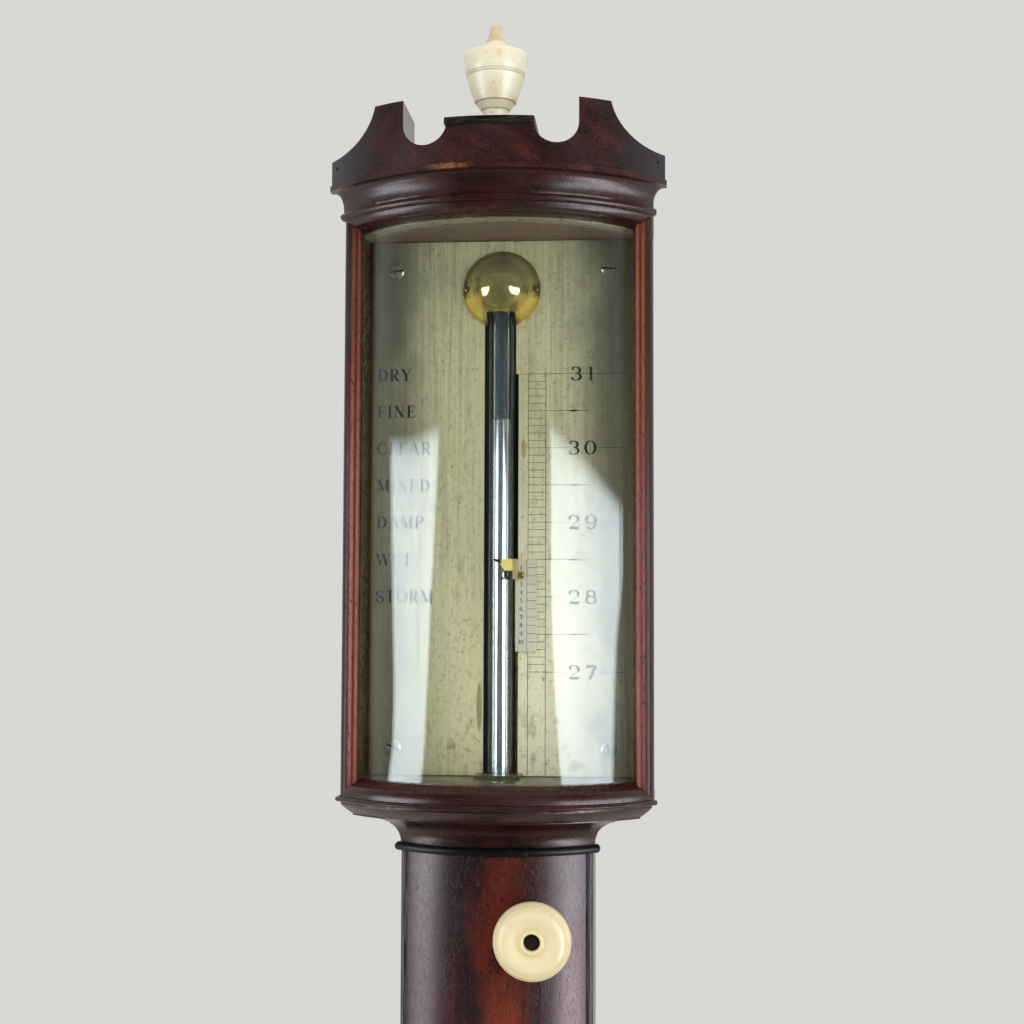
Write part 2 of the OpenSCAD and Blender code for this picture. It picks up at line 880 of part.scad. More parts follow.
module cistern_base() {
  color("burlywood")
    difference() {
      union() {
        translate([0, tube_y, base_top_z - collar_h])
          cylinder(r = cistern_r, h = collar_h);
        translate([0, tube_y, base_end_z])
          cylinder(r = cistern_r - barrel_inset, h = base_top_z - base_end_z - 1);
      }
      translate([0, tube_y, cup_z])
        cylinder(r = cistern_r - case_wall, h = base_top_z - cup_z + 1);
      translate([0, tube_y, base_end_z + nut_t])
        cylinder(r = bag_r + bag_gap, h = base_top_z - base_end_z);
      translate([0, tube_y, base_end_z - 1])
        cylinder(r = nut_r, h = nut_t + 2);
    }
}

module screw_bush() {
  color("goldenrod")
    difference() {
      translate([0, tube_y, base_end_z])
        cylinder(r = nut_r, h = nut_t);
      translate([0, tube_y, base_end_z - 1])
        cylinder(r = screw_r + run_fit, h = nut_t + 2);
    }
}

module cistern_strap() {
  color("goldenrod")
    difference() {
      translate([0, 0, strap_z - 5])
        linear_extrude(height = 10)
          strap_plan(cistern_r, 0.9, strap_x);
      for (x = [-strap_x, strap_x])
        screw_hole(x, -back_t - 3, strap_z, 1, 9);
    }
}

module cistern_strap_screws() {
  color("khaki")
    for (x = [-strap_x, strap_x])
      face_screw(x, -back_t - 0.9, strap_z, 2, 0.8, 1, 6);
}

// Half-turned urn over the cistern; heights are parts of its full height, counted down
urn_prof = concat(
  [[0, 0], [urn_r - 4, 0], [urn_r - 3.2, 0.012], [urn_r - 3.2, 0.03], [urn_r - 5.2, 0.045]],
  arc_pts(urn_r - 5.2, 0.075, -1.2, 0.025, -90, 90, 6),
  [[urn_r - 4.6, 0.11]],
  arc_pts(urn_r - 5, 0.36, 5, 0.24, -80, 0, 7),
  arc_pts(urn_r - 14, 0.36, 14, 0.5, 0, 84, 12),
  [[17, 0.875], [18.6, 0.9], [19, 0.93], [18.4, 0.96], [17, 0.985], [15, 1], [0, 1]]
);
urn_room = concat(
  [[0, 0.02], [urn_r - 9.4, 0.02], [urn_r - 9.4, 0.12], [urn_r - 4.2, 0.3], [urn_r - 4.2, 0.45]],
  [[urn_r - 6.5, 0.62], [urn_r - 11, 0.76], [cistern_r + 1.2, 0.83], [cistern_r + 1.2, 0.93], [0, 0.93]]
);

module cistern_cover() {
  color("black")
    difference() {
      intersection() {
        translate([0, -back_t, urn_top_z])
          rotate_extrude()
            polygon([for (p = urn_prof) [p[0], -p[1] * urn_h]]);
        translate([-50, -50 - back_t, urn_end_z - 1])
          cube([100, 50, urn_h + 2]);
      }
      translate([0, -back_t, urn_top_z])
        rotate_extrude()
          polygon([for (p = urn_room) [p[0], -p[1] * urn_h]]);
      translate([0, tube_y, urn_end_z - 1])
        cylinder(r = 7, h = 20);
      tube_hole(urn_top_z - 10, urn_top_z + 1, 0.4);
      for (x = [-urn_screw_x, urn_screw_x], z = urn_screw_z)
        back_screw_seat(x, z, 20);
    }
}

module cistern_cover_screws() {
  color("goldenrod")
    for (x = [-urn_screw_x, urn_screw_x], z = urn_screw_z)
      back_screw(x, z, 20, 0.7);
}

vernier_y = plate_y - slide_gap;

module vernier_plate() {
  color("darkkhaki")
    along_y(vernier_y - 0.8, vernier_y)
      translate([tube_r + 0.7, index_z - vernier_h])
        square([7.2, vernier_h]);
}

pointer_y = tube_y - tube_r - slide_gap;

// Finger before the tube, bent back along the vernier's edge to a small tab
pointer_h = 6.9;
pointer_x = tube_r + 0.7;
pointer_hole_x = tube_r - 0.9;
tab_w = 3;
tab_h = 2.9;
tab_screw_x = pointer_x + tab_w / 2 + 0.4;
tab_screw_z = index_z - pointer_h + tab_h / 2;

module vernier_pointer() {
  foot_y = vernier_y - 0.8;
  low_z = index_z - pointer_h;
  color("gold")
    difference() {
      union() {
        along_y(foot_y - 0.7, foot_y)
          translate([pointer_x, low_z])
            square([tab_w, tab_h]);
        along_y(pointer_y - 0.8, foot_y)
          translate([pointer_x, low_z])
            square([0.9, pointer_h]);
        along_y(pointer_y - 0.8, pointer_y)
          polygon([[-2.6, index_z], [pointer_x + 0.9, index_z],
                   [pointer_x + 0.9, low_z], [pointer_x - 2.4, low_z],
                   [pointer_x - 3.3, low_z + 1.1], [pointer_x - 3.1, low_z + 2.7],
                   [pointer_x - 4.4, low_z + 4.7]]);
      }
      screw_hole(pointer_hole_x, pointer_y - 2, index_z - 5.2, 1, 2 + 0.8);
      screw_hole(tab_screw_x, foot_y - 2, tab_screw_z, 0.5, 4);
    }
}

module vernier_screw() {
  foot_y = vernier_y - 0.8;
  color("khaki")
    face_screw(tab_screw_x, foot_y - 0.7, tab_screw_z, 0.95, 0.6, 0.5, 0.7);
}

// Rack behind the right plate, its straight teeth on the pinion's side, and the web to the vernier
module rack_bar() {
  top_z = index_z - 2;
  half_t = tooth_pitch / 4 - backlash / 4;
  slope = tan(20);
  tip = half_t - addendum * slope;
  root = half_t + dedendum * slope;
  n0 = ceil((rack_low_z + 1 - knob_z) / tooth_pitch);
  n1 = floor((knob_z + low_stroke + 6 - knob_z) / tooth_pitch);
  color("goldenrod") {
    along_y(rack_y, rack_y + rack_t)
      polygon(concat(
        [[rack_in_x, top_z], [rack_in_x, rack_low_z], [rack_x - dedendum, rack_low_z]],
        [for (k = [n0:n1], s = [0:3])
          let (c = knob_z + (k + 0.5) * tooth_pitch)
            s == 0 ? [rack_x - dedendum, c - root]
          : s == 1 ? [rack_x + addendum, c - tip]
          : s == 2 ? [rack_x + addendum, c + tip]
          : [rack_x - dedendum, c + root]],
        [[rack_x - dedendum, top_z]]
      ));
    translate([rack_in_x, vernier_y, index_z - vernier_h + 3])
      cube([web_t, rack_y + rack_t - vernier_y, vernier_h - 5]);
  }
}

function inv_deg(a) = tan(a) - a * PI / 180;

// Half angle of a tooth at a radius, in degrees
function half_tooth(r) =
  let (t = PI * gear_module / 2 - backlash / 2, base = pitch_r * cos(20))
    (t / 2 / pitch_r + inv_deg(20) - inv_deg(acos(min(1, base / r)))) * 180 / PI;

module pinion() {
  tip_r = pitch_r + addendum;
  root_r = pitch_r - dedendum;
  base = pitch_r * cos(20);
  steps = [for (i = [0:4]) base + (tip_r - base) * i / 4];
  color("gold")
    difference() {
      translate([knob_x, 0, knob_z])
        along_y(rack_y - 0.3, rack_y + rack_t)
          polygon([for (k = [0:pinion_teeth - 1], s = [0:11])
            let (mid = 180 + k * 360 / pinion_teeth,
                 r = s == 0 || s == 11 ? root_r : steps[s < 6 ? s - 1 : 10 - s],
                 a = mid + (s < 6 ? -1 : 1) * half_tooth(max(r, base)))
              [r * cos(a), r * sin(a)]]);
      screw_hole(knob_x, rack_y - 5, knob_z, spindle_r, 20);
    }
}

module knob_spindle() {
  color("dimgray")
    screw_hole(knob_x, knob_y - 4.6, knob_z, spindle_r, -back_t + 8 - knob_y + 4.6);
}

module setting_knob() {
  rim = knob_r;
  color("ivory")
    turned_y(knob_x, knob_y, knob_z)
      polygon(concat(
        [[spindle_r, 0], [rim - 3.2, 0]],
        arc_pts(rim - 2, 2.7, 2, 2.7, -60, 60, 8),
        [[rim - 2.2, 5.3]],
        arc_pts(rim - 3.6, 5.4, 1.4, 1.5, 20, 160, 6),
        [[rim - 6.1, 4.9], [rim - 7.4, 4.8], [rim - 8.3, 5.6]],
        arc_pts(3.6, 6, 0.8, 0.8, 20, 160, 5),
        [[2.75, 5.6], [2.75, 3.4], [spindle_r, 3.4]]
      ));
}

module push_pad() {
  color("burlywood")
    difference() {
      translate([0, tube_y, pad_top_z - pad_t])
        cylinder(r = pad_r, h = pad_t);
      translate([0, tube_y, pad_top_z - pad_t - 1])
        cylinder(r = screw_r + run_fit, h = 3);
    }
}

// Portable screw with a turned head and a cross bar
module portable_screw() {
  color("gold")
    translate([0, tube_y, 0]) {
      translate([0, 0, screw_head_z - 0.5])
        cylinder(r = screw_r, h = pad_top_z - pad_t + 1.9 - screw_head_z + 0.5);
      translate([0, 0, screw_head_z - screw_head_h])
        rotate_extrude()
          polygon(concat([[0, 0], [2.4, 0]], arc_pts(4.4, 2.6, 1.2, 2.2, -90, 90, 6),
                         [[3.4, 5.4], [3.4, 6.4]], arc_pts(4.6, 9, 1.2, 2.4, -90, 90, 6),
                         [[3.4, 12], [0, 12]]));
    }
}

backboard();
hanging_plate();
hanging_plate_screws();
trunk_front();
trunk_edge_beads();
neck_bead();
trunk_base_bead();
hood_base();
bottom_rail();
top_rail();
left_stile();
right_stile();
hood_soffit();
left_cheek();
right_cheek();
cornice();
pediment();
pediment_cap();
finial();
bow_glass();
left_register_plate();
right_register_plate();
plate_screws();
bulb_cover();
bulb_cover_screws();
tube();
mercury_column();
tube_clip();
tube_clip_screws();
floor_plug();
rack_guides();
spindle_bush();
cistern_lid();
cistern_cup();
mercury_pool();
cistern_leather();
bag_mercury();
cistern_base();
screw_bush();
cistern_strap();
cistern_strap_screws();
cistern_cover();
cistern_cover_screws();
vernier_plate();
vernier_pointer();
vernier_screw();
rack_bar();
setting_knob();
knob_spindle();
pinion();
push_pad();
portable_screw();
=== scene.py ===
"""Looks of a bow-front stick barometer, built round its packed CAD model."""

import json
import math

import bmesh
import bpy
from bpy.props import FloatProperty, FloatVectorProperty, IntProperty, PointerProperty
from mathutils import Matrix, Vector


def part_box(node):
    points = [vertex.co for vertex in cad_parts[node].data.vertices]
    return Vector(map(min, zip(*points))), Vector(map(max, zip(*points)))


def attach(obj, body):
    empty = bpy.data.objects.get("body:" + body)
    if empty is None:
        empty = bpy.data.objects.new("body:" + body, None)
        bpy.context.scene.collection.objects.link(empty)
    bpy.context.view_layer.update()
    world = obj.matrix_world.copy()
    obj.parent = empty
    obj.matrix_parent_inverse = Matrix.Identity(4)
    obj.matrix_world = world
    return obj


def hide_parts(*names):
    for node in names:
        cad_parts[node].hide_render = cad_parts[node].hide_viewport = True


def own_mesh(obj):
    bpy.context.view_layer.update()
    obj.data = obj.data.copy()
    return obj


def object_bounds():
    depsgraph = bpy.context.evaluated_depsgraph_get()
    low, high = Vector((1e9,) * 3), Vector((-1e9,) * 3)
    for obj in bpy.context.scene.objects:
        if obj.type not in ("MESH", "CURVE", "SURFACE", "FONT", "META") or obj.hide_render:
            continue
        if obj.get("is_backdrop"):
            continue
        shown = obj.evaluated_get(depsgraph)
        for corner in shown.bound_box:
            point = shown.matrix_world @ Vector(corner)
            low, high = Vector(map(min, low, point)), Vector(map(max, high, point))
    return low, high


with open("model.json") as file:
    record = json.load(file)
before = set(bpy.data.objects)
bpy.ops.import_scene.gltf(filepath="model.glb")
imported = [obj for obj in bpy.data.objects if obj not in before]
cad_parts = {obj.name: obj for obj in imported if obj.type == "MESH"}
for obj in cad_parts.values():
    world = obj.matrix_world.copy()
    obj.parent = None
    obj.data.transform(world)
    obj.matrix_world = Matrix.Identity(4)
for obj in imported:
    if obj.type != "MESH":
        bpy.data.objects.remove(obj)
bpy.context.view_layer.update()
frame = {"nodes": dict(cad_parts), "record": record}

bl_info = {
    "name": "Bow-front stick barometer",
    "version": (1, 0, 0),
    "blender": (4, 5, 0),
    "location": "View3D > Sidebar > Barometer",
    "description": "Dresses the packed barometer: case, register, glazing, setting gear, cistern and stage",
    "category": "Add Mesh",
}

MM = 0.001
BODY_OF = {node: body for body, nodes in frame["record"]["behaviour"]["bodies"].items() for node in nodes}


def tint(red, green, blue):
    """A colour given as 0 to 255 on a screen, in Blender's linear numbers."""
    def linear(part):
        part /= 255
        return part / 12.92 if part <= 0.04045 else ((part + 0.055) / 1.055) ** 2.4
    return tuple(linear(part) for part in (red, green, blue))


def middle(node):
    low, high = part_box(node)
    return (low + high) / 2


# Sizes and colours that a user would change


def length(name, default, description):
    return FloatProperty(
        name=name, description=description, default=default * MM, unit="LENGTH", precision=5
    )


def number(name, default, description):
    return FloatProperty(name=name, description=description, default=default)


def colour(name, red, green, blue, description):
    return FloatVectorProperty(
        name=name, description=description, default=tint(red, green, blue), subtype="COLOR", size=3,
        min=0, max=1
    )


class BarometerCase(bpy.types.PropertyGroup):
    """Sizes of the case."""

    bow_axis: length("Bow axis", 7.8, "How far the axis of the bowed front lies behind the back plane")
    bow_extra: length("Bow extra", 14.7, "Front bow radius minus the half width of each moulding")
    glass_r: length("Glass radius", 59.3, "Outer radius of the bowed glass")
    trunk_wall: length("Trunk wall", 6.6, "Thickness of the trunk's bowed front")
    worn_edge: length("Worn edge", 0.25, "Rounding of the case's worn edges")
    horn_round: length("Horn rounding", 0.45, "Rounding of the pediment's sawn outline")


class BarometerRegister(bpy.types.PropertyGroup):
    """Sizes of the engraved register."""

    mark_27: length("27 inch mark", -168, "Height of the scale's lowest mark")
    inch: length("Inch", 25.4, "Length of one inch of the scale")
    column_left: length("Column, left", 9.18, "Left line of the graduated column")
    column_right: length("Column, right", 15.12, "Right line of the graduated column")
    hairline: length("Hairline", 0.17, "Width of an engraved line")
    ink: length("Ink", 0.03, "How far the wax stands on the plate")
    figure_h: length("Figure height", 4.5, "Height of the inch figures")
    word_h: length("Word height", 4.0, "Height of the weather words")
    first_inch: IntProperty(name="First inch", description="Lowest figure of the scale", default=27, min=1)
    inches: IntProperty(name="Inches", description="Inches that the scale covers", default=4, min=1)


class BarometerColours(bpy.types.PropertyGroup):
    """Colours of the finishes."""

    mahogany_dark: colour("Mahogany, dark", 28, 12, 11, "Dark figure of the mahogany")
    mahogany: colour("Mahogany", 60, 25, 19, "Middle tone of the mahogany")
    mahogany_flame: colour("Mahogany, flame", 126, 46, 22, "Bright figure of the mahogany")
    bloom: colour("Bloom", 100, 84, 92, "Greyish bloom of the old polish")
    ebony: colour("Ebonised wood", 6, 7, 7, "Black stain of the beads and the cap")
    bone: colour("Bone", 240, 231, 198, "Turned bone")
    bone_deep: colour("Bone, yellowed", 220, 196, 138, "Yellowed bone in the hollows")
    silvering: colour("Silvering", 190, 185, 145, "Tarnished silvering of the plates")
    silvering_warm: colour("Silvering, worn", 226, 214, 168, "Silvering worn towards the brass")
    silvering_grey: colour("Silvering, grey", 126, 131, 116, "Greyed silvering")
    brass: colour("Brass", 196, 186, 104, "Polished brass")
    brass_dull: colour("Brass, dull", 104, 102, 58, "Tarnish on the brass")
    slot_black: colour("Slot paint", 7, 16, 19, "Blue-black paint in the tube's slot")
    wax: colour("Wax", 13, 14, 11, "Black wax in the engraving")


class BarometerStage(bpy.types.PropertyGroup):
    """Camera, lamps and backdrop."""

    camera_place: FloatVectorProperty(
        name="Camera place", description="Where the camera stands", unit="LENGTH",
        default=(0.0557, -0.5913, -0.1503)
    )
    camera_yaw: number("Yaw", 5.17, "Turn of the camera to the left, in degrees")
    camera_pitch: number("Pitch", 3.63, "Tilt of the camera upwards, in degrees")
    camera_roll: number("Roll", -0.2, "Roll of the camera, in degrees")
    lens: number("Lens", 59.59, "Focal length in millimetres")
    backdrop: colour("Backdrop", 216, 216, 213, "Pale wall behind the object")
    room: number("Room", 0.04, "How bright the room before the object is in reflections")
    ambient: number("Ambient", 0.78, "Level of the even light from all round")
    window: number("Windows", 8.2, "Radiance of the two windows in reflections")


GROUPS = {
    "barometer_case": BarometerCase,
    "barometer_register": BarometerRegister,
    "barometer_colours": BarometerColours,
    "barometer_stage": BarometerStage,
}


def case():
    return bpy.context.scene.barometer_case


def scale():
    return bpy.context.scene.barometer_register


def colours():
    return bpy.context.scene.barometer_colours


# Finishes


class Shading:
    """Adds nodes to a shader tree, and feeds them with values or with other nodes."""

    def __init__(self, tree):
        self.tree = tree

    def add(self, kind, **settings):
        node = self.tree.nodes.new(kind)
        for key, value in settings.items():
            setattr(node, key, value)
        return node

    def feed(self, socket, value):
        if isinstance(value, bpy.types.NodeSocket):
            self.tree.links.new(value, socket)
        elif socket.type == "RGBA" and len(value) == 3:
            socket.default_value = (*value, 1)
        else:
            socket.default_value = value

    def maths(self, operation, first, second=0.0, third=0.0):
        node = self.add("ShaderNodeMath", operation=operation)
        for socket, value in zip(node.inputs, (first, second, third)):
            self.feed(socket, value)
        return node.outputs[0]

    def times(self, first, second):
        return self.maths("MULTIPLY", first, second)

    def plus(self, first, second):
        return self.maths("ADD", first, second)

    def minus(self, first, second):
        return self.maths("SUBTRACT", first, second)

    def scaled(self, value, factor, offset):
        return self.maths("MULTIPLY_ADD", value, factor, offset)

    def below(self, value, limit):
        return self.maths("LESS_THAN", value, limit)

    def hypot(self, first, second):
        """How far a point with these two coordinates is from zero."""
        return self.maths("SQRT", self.plus(self.times(first, first), self.times(second, second)))

    def span(self, value, low, high, start=0.0, end=1.0):
        """Goes smoothly from start, where value is low, to end, where it is high."""
        node = self.add("ShaderNodeMapRange", interpolation_type="SMOOTHSTEP")
        feeds = {"Value": value, "From Min": low, "From Max": high, "To Min": start, "To Max": end}
        for name, part in feeds.items():
            self.feed(node.inputs[name], part)
        return node.outputs[0]

    def near(self, value, centre, reach):
        """1 at centre, falling to 0 at reach away from it."""
        away = self.maths("ABSOLUTE", self.minus(value, centre))
        return self.minus(1.0, self.span(away, 0.0, reach))


class Finish(Shading):
    """Builds one procedural material, node by node."""

    def __init__(self, name):
        self.material = bpy.data.materials.new(name)
        self.material.use_nodes = True
        super().__init__(self.material.node_tree)
        self.shader = self.tree.nodes["Principled BSDF"]
        self.place = self.add("ShaderNodeTexCoord").outputs["Object"]

    def stretched(self, size, turn=0, shift=(0, 0, 0)):
        """Object coordinates in units of size, turned in front view by so many degrees first."""
        place = self.place
        if turn:
            lean = self.add("ShaderNodeVectorRotate", rotation_type="Y_AXIS")
            self.feed(lean.inputs["Vector"], place)
            lean.inputs["Angle"].default_value = math.radians(turn)
            place = lean.outputs[0]
        node = self.add("ShaderNodeMapping")
        self.feed(node.inputs["Vector"], place)
        node.inputs["Location"].default_value = shift
        node.inputs["Scale"].default_value = [1 / (part * MM) for part in size]
        return node.outputs[0]

    def noise(self, size, detail=4, rough=0.55, distort=0, turn=0, shift=(0, 0, 0)):
        """Noise whose blotches are about size millimetres along the three axes."""
        node = self.add("ShaderNodeTexNoise")
        self.feed(node.inputs["Vector"], self.stretched(size, turn, shift))
        node.inputs["Scale"].default_value = 1
        node.inputs["Detail"].default_value = detail
        node.inputs["Roughness"].default_value = rough
        node.inputs["Distortion"].default_value = distort
        return node.outputs[0]

    def patches(self, size, low, high, **texture):
        """0 where a noise is below low, 1 where it is above high."""
        return self.span(self.noise(size, **texture), low, high)

    def axis(self, name):
        node = self.add("ShaderNodeSeparateXYZ")
        self.feed(node.inputs[0], self.place)
        return node.outputs[name]

    def aside(self):
        """Distance to the left or right of the middle."""
        return self.maths("ABSOLUTE", self.axis("X"))

    def bow_distance(self):
        """Distance from the upright axis of the bowed front."""
        return self.hypot(self.axis("X"), self.minus(self.axis("Y"), case().bow_axis))

    def ramp(self, value, *stops):
        node = self.add("ShaderNodeValToRGB")
        self.feed(node.inputs[0], value)
        points = node.color_ramp.elements
        while len(points) < len(stops):
            points.new(0.5)
        for point, (position, shade) in zip(points, stops):
            point.position = position
            point.color = (*shade, 1)
        return node.outputs[0]

    def mix(self, share, first, second):
        node = self.add("ShaderNodeMix", data_type="RGBA")
        for index, value in ((0, share), (6, first), (7, second)):
            self.feed(node.inputs[index], value)
        return node.outputs[2]

    def lay(self, base, shade, mask, share):
        """Lays a shade over base where mask is, by a share of it."""
        return self.mix(self.times(mask, share), base, shade)

    def relief(self, height, depth):
        node = self.add("ShaderNodeBump")
        self.feed(node.inputs["Height"], height)
        node.inputs["Strength"].default_value = 1
        node.inputs["Distance"].default_value = depth * MM
        self.tree.links.new(node.outputs[0], self.shader.inputs["Normal"])

    def done(self, **sockets):
        for name, value in sockets.items():
            self.feed(self.shader.inputs[name.replace("_", " ")], value)
        return self.material

    def lets_lamps_through(self):
        """Lets lamp light pass straight through a glass."""
        clear = self.add("ShaderNodeBsdfTransparent")
        path = self.add("ShaderNodeLightPath")
        either = self.add("ShaderNodeMixShader")
        out = self.tree.nodes["Material Output"]
        self.tree.links.new(path.outputs["Is Shadow Ray"], either.inputs[0])
        self.tree.links.new(self.shader.outputs[0], either.inputs[1])
        self.tree.links.new(clear.outputs[0], either.inputs[2])
        self.tree.links.new(either.outputs[0], out.inputs[0])


UPRIGHT, ACROSS, SLANTED = 0, 90, 62


def mahogany(name, turn, under=None, over=None, gloss=1.0):
    """Polished mahogany with its grain along Z, or turned from it in front view.

    under changes the colour of the wood below its pores, and over lies on top of them.
    """
    f, c = Finish(name), colours()
    figure = f.noise((9, 9, 30), detail=5, distort=1.4, turn=turn)
    f.fibres = f.noise((0.5, 0.5, 22), detail=6, rough=0.7, turn=turn)
    tone = f.plus(f.times(figure, 0.62), f.times(f.fibres, 0.40))
    wood = f.ramp(tone, (0.36, c.mahogany_dark), (0.58, c.mahogany), (0.90, c.mahogany_flame))
    cloud = f.patches((24, 24, 40), 0.44, 0.74, detail=4, shift=(1, 9, 4))
    wood = f.lay(wood, c.bloom, cloud, 0.07)
    if under:
        wood = under(f, wood)
    flecks = f.patches((0.8, 0.8, 2.0), 0.52, 0.66, detail=3, rough=0.65, turn=turn, shift=(4, 4, 2))
    wood = f.lay(wood, tint(16, 9, 10), flecks, 0.55)
    pits = f.patches((0.3, 0.3, 2.2), 0.60, 0.68, detail=2, turn=turn, shift=(3, 1, 7))
    wood = f.lay(wood, tint(15, 8, 9), pits, 0.45)
    knocks = f.patches((1.5, 1.5, 1.5), 0.65, 0.69, detail=3, shift=(8, 2, 5))
    wood = f.lay(wood, tint(12, 8, 9), knocks, 0.85)
    cracks = f.near(f.noise((16, 16, 30), detail=2, shift=(6, 6, 1)), 0.5, 0.005)
    cracks = f.times(cracks, f.patches((20, 20, 20), 0.55, 0.6, shift=(3, 5, 8)))
    wood = f.lay(wood, tint(14, 8, 8), cracks, 0.7)
    if over:
        wood = over(f, wood)
    dull = f.scaled(flecks, 0.1, f.scaled(cloud, 0.12, 0.19))
    holes = f.plus(f.plus(pits, knocks), cracks)
    f.relief(f.minus(f.times(f.fibres, 0.5), holes), 0.018)
    return f.done(
        Base_Color=wood, Roughness=f.scaled(f.fibres, 0.12, dull), Coat_Weight=0.12 * gloss,
        Coat_Roughness=0.2, Specular_IOR_Level=0.42 * gloss
    )


def flame_figure(f, wood):
    """The trunk's figure: a red flame in the middle and a dark band beside it, with a painted grey sheen at
    both sides.
    """
    flame_top, flame_full = -232 * MM, -272 * MM
    wander = f.times(f.minus(f.noise((46, 46, 56), detail=3), 0.5), 34 * MM)
    beside = f.plus(f.axis("X"), wander)
    # painted sheen: a greyish mauve laid over both sides of the bowed trunk, standing for window reflections
    side_sheen = f.times(f.span(f.aside(), 8 * MM, 27 * MM), f.patches((5, 5, 60), 0.30, 0.62, detail=4))
    wood = f.lay(wood, tint(92, 78, 94), side_sheen, 0.3)
    wood = f.lay(wood, tint(30, 24, 32), f.near(beside, -9 * MM, 10 * MM), 0.68)
    heart = f.near(beside, 3 * MM, 14 * MM)
    low = f.span(f.axis("Z"), flame_top, flame_full)
    patch = f.patches((10, 10, 24), 0.34, 0.60, detail=5, shift=(5, 0, 2))
    fire = f.times(heart, f.times(patch, f.scaled(low, 0.5, 0.42)))
    return f.mix(fire, wood, colours().mahogany_flame)


def reeds(f, wood):
    """Two reeds along a stile with painted highlights on their crowns, red between them and dark outside;
    painted shade makes the highlights weaker at the top of the left stile.
    """
    inner, outer = 46.6 * MM, 48.6 * MM
    shaded_from, shaded_full = -105 * MM, -45 * MM
    across = f.aside()
    wood = f.lay(wood, tint(64, 38, 33), f.span(across, outer + 0.4 * MM, outer + MM), 0.7)
    wood = f.lay(wood, tint(118, 44, 17), f.near(across, (inner + outer) / 2, 1.3 * MM), 0.8)
    # painted shade: the reeds' painted highlights are weaker at the top of the left stile
    shaded_upper_left = f.times(f.below(f.axis("X"), 0.0), f.span(f.axis("Z"), shaded_from, shaded_full))
    light_and_shade = f.scaled(shaded_upper_left, -0.42, f.scaled(f.fibres, 0.8, 0.4))
    # painted highlights along the crowns of both reeds
    for reed in (inner, outer):
        wood = f.lay(wood, tint(172, 112, 94), f.near(across, reed, 0.9 * MM), light_and_shade)
    return wood


def rubbed_bare(f, wood):
    """A patch on the cornice's upper edge that is rubbed to the bare wood."""
    edge, patch_x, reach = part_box("cornice")[1].z - 2 * MM, -13 * MM, 10 * MM
    patch = f.times(f.near(f.axis("X"), patch_x, reach), f.span(f.axis("Z"), edge, edge + 0.6 * MM))
    patch = f.times(patch, f.patches((1.6, 1.6, 0.9), 0.36, 0.56, detail=5, rough=0.7))
    return f.mix(patch, wood, tint(142, 88, 54))


def black_ends(f, wood):
    """Painted bluish-grey sheen towards both ends of the pediment, standing for window reflections."""
    sheen_reach = f.scaled(f.noise((12, 12, 12), detail=5), 30 * MM, f.aside())
    # painted bluish-grey sheen, stronger towards the ends
    return f.lay(wood, tint(34, 33, 40), f.span(sheen_reach, 47 * MM, 66 * MM), 0.8)


def lined(node):
    """A painted olive reflection of the plates on the inner side of a right-hand piece and of its left twin.
    """
    def lining(f, wood):
        lines = f.noise((0.5, 0.5, 80), detail=3)
        olive = f.ramp(lines, (0.38, tint(40, 37, 24)), (0.55, tint(74, 69, 45)), (0.70, tint(104, 98, 68)))
        # painted reflection of the plates on the inner faces
        return f.mix(f.below(f.aside(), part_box(node)[0].x + 0.35 * MM), wood, olive)
    return lining


def painted_floor(f, wood):
    """The hood's floor behind the glass, in olive-grey."""
    over = f.maths("GREATER_THAN", f.axis("Z"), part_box("hood_base")[1].z - 0.3 * MM)
    inside = f.times(over, f.below(f.bow_distance(), case().glass_r - 2.3 * MM))
    return f.mix(inside, wood, f.mix(f.fibres, tint(44, 44, 32), tint(96, 94, 68)))


def sawn_edge(name):
    """The dark, polished sawn edges of the pediment."""
    f = Finish(name)
    grain = f.noise((1.2, 14, 1.2), detail=5)
    wood = f.ramp(grain, (0.3, tint(24, 22, 20)), (0.6, tint(46, 38, 34)), (0.8, tint(66, 54, 46)))
    f.relief(grain, 0.03)
    return f.done(Base_Color=wood, Roughness=f.scaled(grain, 0.2, 0.2), Coat_Weight=0.3, Coat_Roughness=0.2)


def ebonised(name, light=None, size=(0.5, 0.5, 14)):
    """Black-stained wood, worn brown in places; light is the tone of its grain where it isn't black."""
    f, c = Finish(name), colours()
    grain = f.noise(size, detail=5)
    worn = f.patches((2.6, 2.6, 5), 0.60, 0.72, detail=5)
    black = f.ramp(grain, (0.32, c.ebony), (0.68, light or tint(17, 18, 19)))
    black = f.lay(black, tint(56, 44, 38), worn, 0.5)
    f.relief(grain, 0.03)
    return f.done(Base_Color=black, Roughness=f.scaled(worn, 0.25, 0.34), Specular_IOR_Level=0.25)


def carcase(name):
    """Plain stained board, blue-black in the tube's channel, with an olive strip over it."""
    f, c = Finish(name), colours()
    channel_w, strip_w, channel_y = 6.3 * MM, 5 * MM, -9.5 * MM
    channel_top = middle("bulb_cover_screws").z + 8 * MM
    grain = f.noise((2.2, 2.2, 60), detail=7, rough=0.65, distort=0.6)
    fibres = f.noise((0.4, 0.4, 18), detail=4)
    wood = f.ramp(grain, (0.3, tint(58, 38, 24)), (0.55, tint(96, 66, 42)), (0.75, tint(122, 88, 58)))
    stain = f.patches((22, 22, 30), 0.50, 0.72, detail=5)
    wood = f.lay(wood, tint(56, 44, 30), stain, 0.6)
    front = f.below(f.axis("Y"), channel_y)
    strip = f.times(f.below(f.aside(), strip_w), front)
    wood = f.mix(strip, wood, f.mix(fibres, tint(112, 106, 70), tint(150, 142, 98)))
    channel = f.times(f.below(f.aside(), channel_w), front)
    channel = f.times(channel, f.below(f.axis("Z"), channel_top))
    wood = f.mix(channel, wood, f.mix(fibres, c.slot_black, tint(14, 40, 48)))
    f.relief(f.plus(grain, f.times(fibres, 0.4)), 0.12)
    return f.done(Base_Color=wood, Roughness=f.scaled(fibres, 0.2, 0.55), Specular_IOR_Level=0.12)


